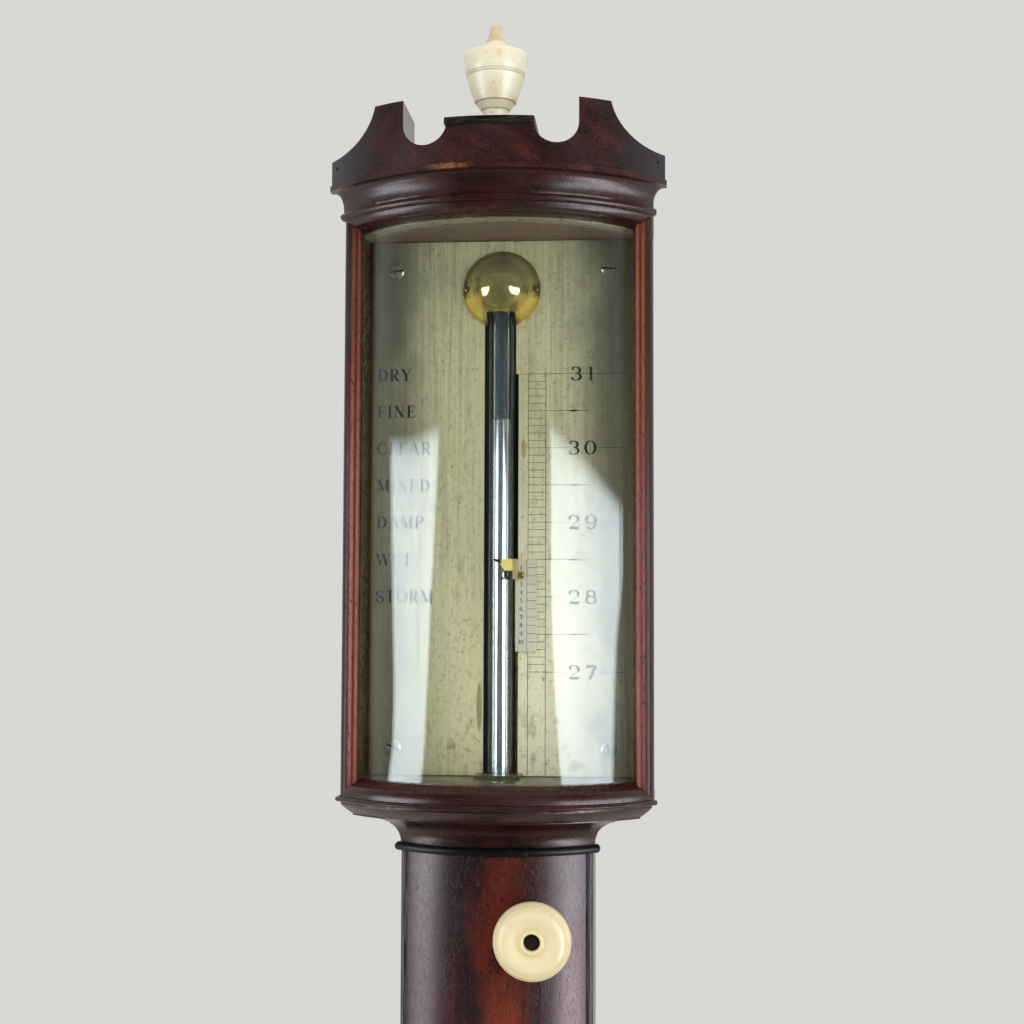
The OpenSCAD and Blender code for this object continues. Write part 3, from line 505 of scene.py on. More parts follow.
def soffit_wood(name):
    """The hood's ceiling: brown board with worm holes, and a pale greenish strip behind the glass that is a
    painted reflection of the glass's top edge.
    """
    f = Finish(name)
    grain = f.noise((40, 2.4, 4), detail=6, distort=0.4)
    wood = f.ramp(grain, (0.3, tint(92, 72, 54)), (0.55, tint(128, 100, 80)), (0.8, tint(148, 116, 94)))
    green = f.patches((16, 9, 9), 0.50, 0.64, detail=4)
    wood = f.lay(wood, tint(112, 106, 80), green, 0.6)
    # painted reflection of the glass's top edge: a pale greenish strip along it
    strip = f.span(f.bow_distance(), case().glass_r - 9 * MM, case().glass_r - 6 * MM)
    wood = f.lay(wood, tint(150, 148, 118), strip, 0.8)
    spots = f.patches((1.5, 1.5, 1.5), 0.61, 0.65, detail=3)
    wood = f.lay(wood, tint(26, 20, 16), spots, 0.85)
    f.relief(f.minus(grain, spots), 0.08)
    return f.done(Base_Color=wood, Roughness=f.scaled(grain, 0.2, 0.5))


def bone(name, turned_on=None, grooves=(), tip=None):
    """Bone with its canals seen as short dark dashes.

    turned_on is the middle of the knob, whose lathe rings show. grooves and tip are heights on the finial
    where the bone is darker.
    """
    f, c = Finish(name), colours()
    cloud = f.noise((7, 7, 9), detail=4)
    tone = f.ramp(cloud, (0.20, c.bone_deep), (0.42, c.bone), (0.8, tint(250, 245, 226)))
    canals = f.patches((0.32, 0.32, 2.4), 0.64, 0.72, detail=3)
    tone = f.lay(tone, tint(150, 118, 66), canals, 0.55)
    specks = f.patches((1.4, 1.4, 2.2), 0.66, 0.74, detail=4, shift=(4, 4, 1))
    tone = f.lay(tone, tint(122, 98, 58), specks, 0.6)
    for groove in grooves:
        tone = f.lay(tone, tint(140, 118, 66), f.near(f.axis("Z"), groove, 0.3 * MM), 0.5)
    if tip:
        stub = f.span(f.axis("Z"), tip - 6.8 * MM, tip - 5.6 * MM)
        tone = f.lay(tone, tint(178, 148, 84), stub, cloud)
    height = f.times(canals, -1.0)
    if turned_on:
        radius = f.hypot(f.minus(f.axis("X"), turned_on.x), f.minus(f.axis("Z"), turned_on.z))
        ring_phase = 14000.0  # radians to a metre
        rings = f.maths("SINE", f.times(radius, ring_phase))
        yellow = f.plus(f.near(radius, 11.0 * MM, 0.9 * MM), f.near(radius, 4.4 * MM, 1.6 * MM))
        tone = f.mix(0.6, tone, tint(228, 212, 160))
        tone = f.lay(tone, c.bone_deep, yellow, 0.5)
        height = f.plus(height, f.times(rings, 0.12))
    f.relief(height, 0.03)
    return f.done(
        Base_Color=tone, Roughness=f.scaled(cloud, 0.2, 0.28), Subsurface_Weight=0.12,
        Subsurface_Scale=0.002, Coat_Weight=0.15, Coat_Roughness=0.2
    )


def finial_dirt():
    """The heights of the finial's grooves, and of its tip."""
    low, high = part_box("finial")
    return [low.z + up * MM for up in (7.7, 10.25, 19.0, 19.8, 27.0)], high.z


def silvered(name, pale=0.0):
    """Tarnished silvering, brushed upright; warmer towards the slot and the bottom by wear and painted
    light, with painted shade greying its upper corners and darkening it towards the stiles.
    """
    f, c = Finish(name), colours()
    s = scale()
    brushed = f.noise((0.4, 1, 26), detail=4, rough=0.75)
    broad = f.noise((1.5, 4, 60), detail=4)
    cloud = f.noise((17, 17, 26), detail=5)
    streak = f.scaled(broad, 0.45, f.times(brushed, 0.55))
    plate = f.ramp(streak, (0.36, tint(152, 149, 112)), (0.50, c.silvering), (0.64, tint(208, 203, 168)))
    across = f.aside()
    low = f.span(f.axis("Z"), s.mark_27 + 4 * s.inch, s.mark_27 - 10 * MM)
    middle_part = f.minus(1.0, f.span(across, 8 * MM, 36 * MM))
    # paler and warmer towards the slot and the bottom: worn silvering, and painted light
    wear_and_light = f.times(middle_part, f.scaled(f.maths("POWER", low, 2.0), 0.8, 0.3))
    plate = f.lay(plate, c.silvering_warm, wear_and_light, f.scaled(cloud, 0.9, 0.3))
    bright = f.times(f.span(f.axis("X"), 0.0, 8 * MM), f.times(low, 0.85))
    plate = f.mix(bright, plate, tint(248, 240, 206))
    high = f.span(f.axis("Z"), s.mark_27 + 2 * s.inch, -30 * MM)
    # painted shade greying the upper corners of the plates
    grey = f.times(high, f.span(f.scaled(cloud, 40 * MM, across), 34 * MM, 62 * MM))
    plate = f.lay(plate, c.silvering_grey, grey, 0.8)
    # painted shadow of the case, darkening the plates towards the stiles
    edge = f.span(f.scaled(f.minus(cloud, 0.5), 16 * MM, across), 22 * MM, 42 * MM)
    plate = f.lay(plate, tint(68, 65, 40), edge, f.scaled(brushed, 0.5, 0.58))
    tarnish = f.patches((4, 4, 15), 0.55, 0.70, detail=5, shift=(2, 0, 6))
    plate = f.lay(plate, tint(128, 121, 80), tarnish, 0.30)
    stain = f.patches((6, 6, 8), 0.52, 0.66, detail=6, shift=(9, 1, 3))
    foot = f.span(f.axis("Z"), s.mark_27 - 8 * MM, s.mark_27 - 26 * MM)
    plate = f.lay(plate, tint(112, 98, 56), f.times(stain, foot), 0.6)
    for size, limit in ((1.0, 0.685), (2.2, 0.715)):
        specks = f.patches((size, size, size), limit, limit + 0.035, detail=2, shift=(7, size, 1))
        plate = f.lay(plate, tint(62, 56, 34), specks, 0.55)
    mottle = f.noise((1.6, 1.6, 2.2), detail=4, rough=0.7, shift=(1, 5, 5))
    plate = f.lay(plate, tint(112, 106, 70), f.span(mottle, 0.50, 0.66), 0.28)
    rubs = ((-41.8, 141.6, 1.5, 5.6, tint(66, 74, 60)), (-7.2, -12.0, 1.0, 8.6, tint(112, 86, 48)),
            (7.6, 76.0, 0.9, 3.4, tint(140, 112, 64)))
    for x, up, wide, tall, shade in rubs:
        dx = f.maths("DIVIDE", f.minus(f.axis("X"), x * MM), wide * MM)
        dz = f.maths("DIVIDE", f.minus(f.axis("Z"), s.mark_27 + up * MM), tall * MM)
        away = f.plus(f.times(dx, dx), f.times(dz, dz))
        away = f.scaled(mottle, 0.8, away)
        plate = f.lay(plate, shade, f.minus(1.0, f.span(away, 1.0, 1.5)), 0.6)
    plate = f.mix(pale, plate, tint(206, 202, 182))
    f.relief(f.plus(brushed, f.times(tarnish, 0.4)), 0.012)
    dull = f.scaled(brushed, 0.1, 0.36)
    return f.done(Base_Color=plate, Metallic=0.18, Roughness=f.scaled(tarnish, 0.15, dull))


def brass(name, dull, polish):
    """Brass with clouds of tarnish; dull is their strength, polish the roughness of the clean metal."""
    f, c = Finish(name), colours()
    cloud = f.noise((5, 5, 5), detail=5)
    fine = f.noise((0.5, 0.5, 0.5), detail=3)
    tarnish = f.span(f.scaled(fine, 0.3, f.times(cloud, 0.7)), 0.44, 0.66)
    metal = f.lay(c.brass, c.brass_dull, tarnish, dull)
    pits = f.patches((0.7, 0.7, 0.7), 0.72, 0.78, detail=2, shift=(2, 8, 3))
    metal = f.lay(metal, tint(70, 60, 30), pits, 0.7)
    f.relief(f.minus(f.times(fine, 0.3), pits), 0.01)
    return f.done(Base_Color=metal, Metallic=0.88, Roughness=f.scaled(tarnish, 0.22, polish))


def cover_brass(name):
    """The bulb cover's brass with painted reflections: grey at the top, where a tarnish film also paints the
    dark reflection of the shaded soffit, dark olive on the lip and bright gold low at both sides.
    """
    f, c = Finish(name), colours()
    up = f.minus(f.axis("Z"), middle("bulb_cover_screws").z)
    side = f.aside()
    away = f.hypot(side, up)
    fine = f.noise((0.6, 0.6, 0.6), detail=4, rough=0.65)
    # grey tarnish film at the top, which also paints the dark reflection of the shaded soffit
    film = f.span(f.scaled(f.noise((3, 3, 3), detail=5), 7 * MM, up), 1 * MM, 9 * MM)
    metal = f.lay(tint(206, 190, 122), tint(118, 113, 90), film, 0.75)
    metal = f.lay(metal, c.brass_dull, f.span(fine, 0.5, 0.7), 0.4)
    # painted reflection: the lip is dark olive, like the ball's reflecting edge
    lip = f.span(away, 10.4 * MM, 12.4 * MM)
    metal = f.lay(metal, tint(104, 98, 54), lip, 0.5)
    # painted reflection: bright gold low at both sides
    gold = f.times(f.span(side, 4.6 * MM, 7.2 * MM), f.span(up, -1.2 * MM, -4.2 * MM))
    metal = f.lay(metal, tint(232, 202, 98), gold, f.scaled(fine, 0.6, 0.5))
    f.relief(fine, 0.006)
    share = f.minus(0.86, f.times(f.maths("MAXIMUM", film, gold), 0.35))
    return f.done(Base_Color=metal, Metallic=share, Roughness=f.scaled(film, 0.16, 0.14))


def screw_steel(name):
    """Bright steel heads, tarnished in spots."""
    f = Finish(name)
    rust = f.patches((0.7, 0.7, 0.7), 0.48, 0.68, detail=4)
    metal = f.lay(tint(186, 184, 164), tint(96, 90, 66), rust, 0.6)
    f.relief(rust, 0.01)
    return f.done(Base_Color=metal, Metallic=0.8, Roughness=f.scaled(rust, 0.2, 0.2))


def pointer_brass(name):
    """Bright lacquered brass; its tip is darkened by a painted shadow where it curves round the tube, and it
    is dark at its foot and brown where it is bent back.
    """
    f = Finish(name)
    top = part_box("vernier_pointer")[1].z
    # a ragged distance along the finger, which places the painted shadow at its tip, the bright brass and
    # the brown bend
    light_and_shade = f.scaled(f.noise((0.8, 0.8, 0.8), detail=4), 1.4 * MM, f.axis("X"))
    # painted shadow at the tip, where the finger curves round the tube
    metal = f.mix(f.span(light_and_shade, 0.7 * MM, 1.7 * MM), tint(50, 40, 22), tint(244, 228, 138))
    metal = f.mix(f.span(f.axis("Z"), top - 3.7 * MM, top - 4.3 * MM), metal, tint(40, 32, 18))
    metal = f.mix(f.span(light_and_shade, 4.7 * MM, 5.4 * MM), metal, tint(178, 164, 118))
    f.relief(f.noise((0.4, 0.4, 0.4)), 0.01)
    return f.done(Base_Color=metal, Metallic=0.25, Roughness=f.scaled(light_and_shade, 12.0, 0.3))


def mercury(name):
    f = Finish(name)
    film = f.noise((3, 3, 8), detail=3)
    metal = f.ramp(film, (0.3, tint(214, 222, 228)), (0.7, tint(236, 242, 246)))
    return f.done(Base_Color=metal, Metallic=0.86, Roughness=f.scaled(film, 0.04, 0.05))


def clear_glass(name, wave):
    """Old glass with a slow wave in its face."""
    f = Finish(name)
    ripple = f.noise((26, 26, 44), detail=1)
    shade = f.ramp(ripple, (0.3, (0.955, 0.985, 0.97)), (0.7, (0.985, 0.995, 0.99)))
    f.relief(ripple, wave)
    f.lets_lamps_through()
    return f.done(Base_Color=shade, Transmission_Weight=1.0, IOR=1.47, Roughness=0.0)


def bore_film(name):
    """The tube's bore: glass under a thin grey-blue film, whose tone also stands for the lit channel wall
    seen through the bore, as painted light.
    """
    f = Finish(name)
    dust = f.noise((1.2, 1.2, 9), detail=4)
    shade = f.ramp(dust, (0.3, tint(112, 146, 152)), (0.7, tint(140, 172, 178)))
    f.lets_lamps_through()
    return f.done(Base_Color=shade, Transmission_Weight=0.93, IOR=1.47, Roughness=f.scaled(dust, 0.2, 0.1))


def boxwood(name):
    f = Finish(name)
    grain = f.noise((0.7, 0.7, 16), detail=6)
    wood = f.ramp(grain, (0.3, tint(160, 116, 60)), (0.55, tint(196, 154, 88)), (0.8, tint(214, 178, 112)))
    f.relief(grain, 0.05)
    return f.done(Base_Color=wood, Roughness=f.scaled(grain, 0.2, 0.4))


def leather(name):
    f = Finish(name)
    cells = f.add("ShaderNodeTexVoronoi", feature="DISTANCE_TO_EDGE")
    f.feed(cells.inputs["Vector"], f.stretched((0.8, 0.8, 0.8)))
    cells.inputs["Scale"].default_value = 1
    grain = f.span(cells.outputs[0], 0.0, 0.25)
    hide = f.ramp(f.noise((5, 5, 5)), (0.3, tint(150, 112, 72)), (0.7, tint(182, 142, 98)))
    skin = f.mix(grain, tint(96, 66, 40), hide)
    f.relief(grain, 0.06)
    return f.done(Base_Color=skin, Roughness=f.scaled(grain, -0.1, 0.75))


def dark_steel(name):
    f = Finish(name)
    rust = f.patches((0.8, 0.8, 0.8), 0.45, 0.7, detail=4)
    metal = f.mix(rust, tint(74, 72, 60), tint(50, 44, 30))
    f.relief(rust, 0.02)
    return f.done(Base_Color=metal, Metallic=0.9, Roughness=f.scaled(rust, 0.3, 0.35))


def engraving_wax(name):
    f, c = Finish(name), colours()
    worn = f.patches((1.4, 1.4, 1.4), 0.46, 0.74, detail=4)
    ink = f.lay(c.wax, tint(84, 84, 64), worn, 0.45)
    return f.done(Base_Color=ink, Roughness=f.scaled(worn, 0.2, 0.5))


# A dark finish for nail holes, screw slots and the slot's edges: dirt and painted shade.
def pit_black(name):
    f = Finish(name)
    dust = f.noise((0.4, 0.4, 0.4), detail=3)
    return f.done(Base_Color=f.ramp(dust, (0.3, tint(8, 6, 6)), (0.8, tint(22, 16, 14))), Roughness=0.9)


MAKERS = {
    "mahogany_trunk": lambda n: mahogany(n, UPRIGHT, under=flame_figure),
    "mahogany_stile": lambda n: mahogany(n, UPRIGHT, under=reeds, over=lined("right_stile"), gloss=0.4),
    "mahogany_cheek": lambda n: mahogany(n, UPRIGHT, over=lined("right_cheek")),
    "mahogany_across": lambda n: mahogany(n, ACROSS, over=painted_floor),
    "mahogany_cornice": lambda n: mahogany(n, ACROSS, under=rubbed_bare),
    "mahogany_slanted": lambda n: mahogany(n, SLANTED, under=black_ends),
    "sawn_edge": sawn_edge,
    "ebonised": ebonised,
    "ebonised_cap": lambda n: ebonised(n, tint(50, 51, 42), (14, 0.5, 0.5)),
    "slate_bead": lambda n: ebonised(n, tint(92, 88, 96)),
    "cover_brass": cover_brass,
    "screw_steel": screw_steel,
    "carcase_board": carcase,
    "soffit_board": soffit_wood,
    "bone_turned": lambda n: bone(n, None, *finial_dirt()),
    "bone_knob": lambda n: bone(n, middle("setting_knob")),
    "silvered_plate": silvered,
    "silvered_pale": lambda n: silvered(n, 0.7),
    "brass_polished": lambda n: brass(n, dull=0.55, polish=0.14),
    "brass_plain": lambda n: brass(n, dull=0.7, polish=0.28),
    "mercury": mercury,
    "glass_bowed": lambda n: clear_glass(n, 0.006),
    "glass_tube": lambda n: clear_glass(n, 0.0),
    "bore_film": bore_film,
    "pointer_brass": pointer_brass,
    "boxwood": boxwood,
    "leather": leather,
    "dark_steel": dark_steel,
    "engraving_wax": engraving_wax,
    "pit_black": pit_black,
}


def finish(name):
    label = "barometer_" + name
    return bpy.data.materials.get(label) or MAKERS[name](label)


# Shapes


def arc(cx, cz, rx, rz, start, end, count):
    """Points on an ellipse between two angles in degrees."""
    turns = [math.radians(start + (end - start) * i / count) for i in range(count + 1)]
    return [(cx + rx * math.cos(a), cz + rz * math.sin(a)) for a in turns]


def bow_line(radius, half_w, count=48):
    """Plan of the bowed front from left to right."""
    reach = math.asin(half_w / radius)
    turns = [reach * (2 * i / count - 1) for i in range(count + 1)]
    return [(radius * math.sin(a), case().bow_axis - radius * math.cos(a)) for a in turns]


def rectangle(left, low, right, high):
    return [(left, low), (right, low), (right, high), (left, high)]


def drill(radius, start, end):
    """The profile of a straight round cutter."""
    return [(0, start), (radius, start), (radius, end), (0, end)]


def upright_axis(node, height=0):
    """The point at a height on the upright axis of a node."""
    return Vector((middle(node).x, middle(node).y, height))


def in_scene(name, data):
    """A new object of the scene."""
    obj = bpy.data.objects.new(name, data)
    bpy.context.scene.collection.objects.link(obj)
    return obj


def baked(obj):
    """A new mesh of an object with its modifiers."""
    return bpy.data.meshes.new_from_object(obj.evaluated_get(bpy.context.evaluated_depsgraph_get()))


def crease(obj, sharp):
    """Keeps creases where faces turn by more than sharp degrees."""
    obj.data.set_sharp_from_angle(angle=math.radians(sharp))


def piece(name, bm, finish_name, sharp=32):
    """Makes a smooth-shaded object of a bmesh, with creases."""
    mesh = bpy.data.meshes.new(name)
    bm.to_mesh(mesh)
    bm.free()
    obj = in_scene(name, mesh)
    mesh.materials.append(finish(finish_name))
    mesh.shade_smooth()
    crease(obj, sharp)
    return obj


def soften(obj, width, segments=2):
    """Rounds the creases, as wear and polish do."""
    bevel = obj.modifiers.new("worn edges", "BEVEL")
    bevel.width = width
    bevel.segments = segments
    bevel.limit_method = "ANGLE"
    bevel.angle_limit = math.radians(34)
    bevel.harden_normals = True
    return obj


def settle(obj, *nodes, body=None, slot=None):
    """Rides a piece on its body and lets it stand for CAD nodes."""
    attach(obj, body or BODY_OF[nodes[0]])
    if nodes:
        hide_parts(*nodes)
    return obj


def dressed(node, finish_name, edge=None, sharp=32):
    """A clean copy of a CAD node with rounded edges, in its place."""
    bm = bmesh.new()
    bm.from_mesh(frame["nodes"][node].data)
    bmesh.ops.remove_doubles(bm, verts=bm.verts, dist=2e-6)
    bmesh.ops.dissolve_limit(bm, angle_limit=math.radians(0.3), verts=bm.verts, edges=bm.edges)
    obj = piece(node + ".dressed", bm, finish_name, sharp)
    if edge is None:
        edge = case().worn_edge
    if edge:
        soften(obj, edge)
    return settle(obj, node)


def lathe(profile, place, steps=96, facing="UP", closed=False, bm=None):
    """Turns a profile of radius and height about an upright axis, or one that faces the viewer."""
    if bm is None:
        bm = bmesh.new()

    def at(radius, height, angle):
        x, z = radius * math.cos(angle), radius * math.sin(angle)
        spot = Vector((x, z, height)) if facing == "UP" else Vector((x, -height, z))
        return bm.verts.new(place + spot)
    turns = [2 * math.pi * k / steps for k in range(steps)]
    rings = [[at(r, h, a) for a in turns] if r > 1e-7 else [at(0, h, 0)] for r, h in profile]
    pairs = list(zip(rings, rings[1:])) + ([(rings[-1], rings[0])] if closed else [])
    for low, high in pairs:
        for k in range(steps):
            corners = [low[k % len(low)], low[(k + 1) % len(low)]]
            corners += [high[(k + 1) % len(high)], high[k % len(high)]]
            corners = list(dict.fromkeys(corners))
            if len(corners) > 2:
                bm.faces.new(corners)
    bmesh.ops.recalc_face_normals(bm, faces=bm.faces)
    return bm


def prism(outline, start, end, along="Z", bm=None):
    """A closed prism of an outline in plan (along Z) or in front view (along Y)."""
    if bm is None:
        bm = bmesh.new()

    def put(p, q):
        return bm.verts.new((p[0], p[1], q) if along == "Z" else (p[0], q, p[1]))
    low = [put(p, start) for p in outline]
    high = [put(p, end) for p in outline]
    bm.faces.new(low)
    bm.faces.new(high)
    for i, vert in enumerate(low):
        j = (i + 1) % len(low)
        bm.faces.new((vert, low[j], high[j], high[i]))
    bmesh.ops.recalc_face_normals(bm, faces=bm.faces)
    return bm


def carved(obj, cutter):
    """Cuts a bmesh out of an object's mesh."""
    tool = in_scene("cutter", bpy.data.meshes.new("cutter"))
    cutter.to_mesh(tool.data)
    cutter.free()
    cut = obj.modifiers.new("cut", "BOOLEAN")
    cut.operation, cut.object, cut.solver = "DIFFERENCE", tool, "EXACT"
    made = baked(obj)
    obj.modifiers.remove(cut)
    obj.data = made
    bpy.data.objects.remove(tool)


# Engraved letters and figures, drawn as strokes in a cell one unit high.
# v x y0 y1 is a stem, h x0 y x1 a level hairline, t and k are thin and thick slanted strokes,
# o cx cy rx ry a0 a1 is a swelling curve, s x y a serif and d x y a round end.
GLYPHS = {
    "A": (0.86, "t .06 0 .40 1", "k .40 1 .76 0", "h .18 .34 .62", "s .06 0", "s .76 0"),
    "C": (0.82, "o .44 .5 .36 .5 48 312", "t .70 .98 .70 .68", "d .66 .16"),
    "D": (0.86, "v .18 0 1", "o .28 .5 .48 .5 -90 90", "h .04 0 .28", "h .04 1 .28"),
    "E": (0.74, "v .18 0 1", "h .04 1 .64", "h .04 0 .66", "h .18 .52 .50", "t .64 1 .64 .76",
          "t .66 0 .66 .26", "t .50 .64 .50 .40"),
    "F": (0.70, "v .18 0 1", "h .04 1 .64", "h .18 .52 .48", "t .64 1 .64 .74",
          "t .48 .64 .48 .40", "s .18 0"),
    "I": (0.40, "v .19 0 1", "s .19 0", "s .19 1"),
    "L": (0.70, "v .18 0 1", "s .18 1", "h .04 0 .64", "t .64 0 .64 .28"),
    "M": (1.06, "t .14 0 .14 1", "k .16 1 .52 .05", "t .52 .05 .86 1", "v .88 0 1", "s .14 0", "s .88 0",
          "h .02 1 .18", "h .86 1 1.0"),
    "N": (0.92, "t .14 0 .14 1", "k .14 1 .74 .02", "t .74 0 .74 1", "s .14 0", "s .74 1", "h .0 1 .16"),
    "O": (0.88, "o .44 .5 .38 .5 0 360"),
    "P": (0.74, "v .18 0 1", "o .32 .74 .34 .26 -90 90", "h .04 1 .32", "h .18 .48 .32", "s .18 0"),
    "R": (0.84, "v .18 0 1", "o .32 .74 .33 .26 -90 90", "h .04 1 .32", "h .18 .48 .34",
          "k .36 .48 .70 0", "s .18 0", "s .74 0"),
    "S": (0.66, "o .32 .75 .23 .25 40 250", "k .20 .58 .46 .42", "o .33 .26 .25 .26 -220 60",
          "t .56 .98 .54 .72", "t .08 .02 .08 .30"),
    "T": (0.78, "v .38 0 1", "h .04 1 .72", "t .04 1 .04 .74", "t .72 1 .72 .74", "s .38 0"),
    "W": (1.16, "k .08 1 .34 .02", "t .34 0 .58 1", "k .58 1 .84 .02", "t .84 0 1.08 1",
          "s .08 1", "s 1.08 1"),
    "X": (0.84, "k .12 1 .70 0", "t .70 1 .12 0", "s .12 0", "s .72 0", "s .10 1", "s .70 1"),
    "Y": (0.84, "k .10 1 .42 .46", "t .76 1 .42 .46", "v .42 0 .48", "s .42 0", "s .08 1", "s .76 1"),
    "0": (0.72, "o .34 .5 .28 .5 0 360"),
    "1": (0.46, "v .24 0 1", "s .24 0", "t .24 1 .08 .88"),
    "2": (0.70, "o .32 .72 .26 .28 170 -38", "t .50 .54 .08 .06", "k .08 .06 .60 .05",
          "t .62 .05 .62 .22", "d .12 .74"),
    "3": (0.66, "o .30 .75 .24 .25 150 -90", "o .30 .26 .28 .26 90 -150", "d .12 .82", "d .10 .18"),
    "4": (0.70, "t .46 1 .04 .30", "h .04 .30 .66", "v .48 0 1", "s .48 0"),
    "5": (0.64, "t .16 1 .12 .52", "k .16 .95 .54 .97", "o .28 .32 .29 .32 128 -150", "d .08 .14"),
    "6": (0.68, "o .38 .5 .32 .5 70 240", "o .35 .29 .27 .29 0 360", "d .54 .88"),
    "7": (0.64, "k .06 .95 .60 .95", "k .58 .94 .26 0", "t .06 .98 .06 .74"),
    "8": (0.66, "o .33 .76 .22 .24 0 360", "o .33 .27 .27 .27 0 360"),
    "9": (0.68, "o .33 .70 .27 .30 0 360", "o .30 .5 .31 .5 -120 30", "d .13 .13"),
}
THICK, THIN, SERIF = 0.20, 0.06, 0.14


def ribbon(bm, line, widths, front, back):
    """A thin flat strip along a line of points in front view, as a closed solid."""
    rows = []
    for i, (x, z) in enumerate(line):
        (x0, z0), (x1, z1) = line[max(i - 1, 0)], line[min(i + 1, len(line) - 1)]
        side = Vector((z0 - z1, x1 - x0)).normalized() * widths[i] / 2
        ends = [(x + side.x, z + side.y), (x - side.x, z - side.y)]
        strips = ((front, ends), (back, ends[::-1]))
        rows.append([bm.verts.new((p, y, q)) for y, pair in strips for p, q in pair])
    for first, second in zip(rows, rows[1:]):
        for k in range(4):
            bm.faces.new((first[k], first[(k + 1) % 4], second[(k + 1) % 4], second[k]))
    bm.faces.new(rows[0])
    bm.faces.new(rows[-1])


def stroke(code):
    """The points and widths of one stroke."""
    kind, *numbers = code.split()
    n = [float(part) for part in numbers]
    if kind == "v":
        return [(n[0], n[1]), (n[0], n[2])], [THICK] * 2
    if kind == "h":
        return [(n[0], n[1]), (n[2], n[1])], [THIN] * 2
    if kind == "s":
        return [(n[0] - SERIF, n[1]), (n[0] + SERIF, n[1])], [THIN] * 2
    if kind == "d":
        return [(n[0] - 0.07, n[1]), (n[0], n[1]), (n[0] + 0.07, n[1])], [0.05, 0.15, 0.05]
    if kind == "o":
        count = max(6, int(abs(n[5] - n[4]) / 12))
        turns = [math.radians(n[4] + (n[5] - n[4]) * i / count) for i in range(count + 1)]
        return arc(*n, count), [THIN + (THICK - THIN) * abs(math.cos(a)) ** 1.4 for a in turns]
    return [(n[0], n[1]), (n[2], n[3])], [THIN if kind == "t" else THICK] * 2


def engrave(bm, word, x, z, height, face, gap=0.12, centred=False, wide=1.0):
    """Draws a word with its middle at z, starting or centred at x, on the plate's face."""
    cells = [GLYPHS[letter] for letter in word]
    if centred:
        x -= height * (wide * sum(cell[0] for cell in cells) + gap * (len(cells) - 1)) / 2
    ink = scale().ink
    for width, *codes in cells:
        for layer, code in enumerate(codes):
            line, widths = stroke(code)
            line = [(x + p * wide * height, z + (q - 0.5) * height) for p, q in line]
            ribbon(bm, line, [w * height for w in widths], face - ink - layer * 1e-6, face + ink)
        x += (width * wide + gap) * height


# Geometry Nodes


class Tree:
    """Builds one Geometry Nodes tree with named inputs."""

    def __init__(self, name, **inputs):
        self.tree = bpy.data.node_groups.new(name, "GeometryNodeTree")
        self.socket("Geometry", "Geometry", "INPUT")
        for label, kind in inputs.items():
            self.socket(label.replace("_", " "), kind, "INPUT")
        self.socket("Geometry", "Geometry", "OUTPUT")
        self.input = self.tree.nodes.new("NodeGroupInput").outputs

    def socket(self, label, kind, side):
        self.tree.interface.new_socket(label, in_out=side, socket_type="NodeSocket" + kind)

    def add(self, kind, feeds=None, **settings):
        """A node with its inputs fed by name or number; gives its first output."""
        node = self.tree.nodes.new(kind)
        for key, value in settings.items():
            setattr(node, key, value)
        for key, value in (feeds or {}).items():
            if isinstance(value, bpy.types.NodeSocket):
                self.tree.links.new(value, node.inputs[key])
            else:
                node.inputs[key].default_value = value
        return node.outputs[0] if node.outputs else None

    def times(self, first, second):
        return self.add("ShaderNodeMath", {0: first, 1: second}, operation="MULTIPLY")

    def vector(self, x, y, z):
        return self.add("ShaderNodeCombineXYZ", {"X": x, "Y": y, "Z": z})

    def close(self, geometry):
        real = self.add("GeometryNodeRealizeInstances", {"Geometry": geometry})
        coated = self.add("GeometryNodeSetMaterial", {"Geometry": real, "Material": self.input["Material"]})
        self.add("NodeGroupOutput", {"Geometry": coated})
        return self.tree


def ruled_lines():
    """Equal lines one above the other, as a dividing engine cuts them."""
    made = bpy.data.node_groups.get("ruled lines")
    if made:
        return made
    t = Tree(
        "ruled lines", Count="Int", First="Vector", Pitch="Float", Length="Float", Width="Float",
        Depth="Float", Material="Material"
    )
    i = t.input
    step = t.vector(0.0, 0.0, i["Pitch"])
    row = {"Count": i["Count"], "Start Location": i["First"], "Offset": step}
    places = t.add("GeometryNodeMeshLine", row)
    cut = t.add("GeometryNodeMeshCube", {"Size": t.vector(i["Length"], i["Depth"], i["Width"])})
    half = t.vector(t.times(i["Length"], 0.5), 0.0, 0.0)
    cut = t.add("GeometryNodeSetPosition", {"Geometry": cut, "Offset": half})
    return t.close(t.add("GeometryNodeInstanceOnPoints", {"Points": places, "Instance": cut}))


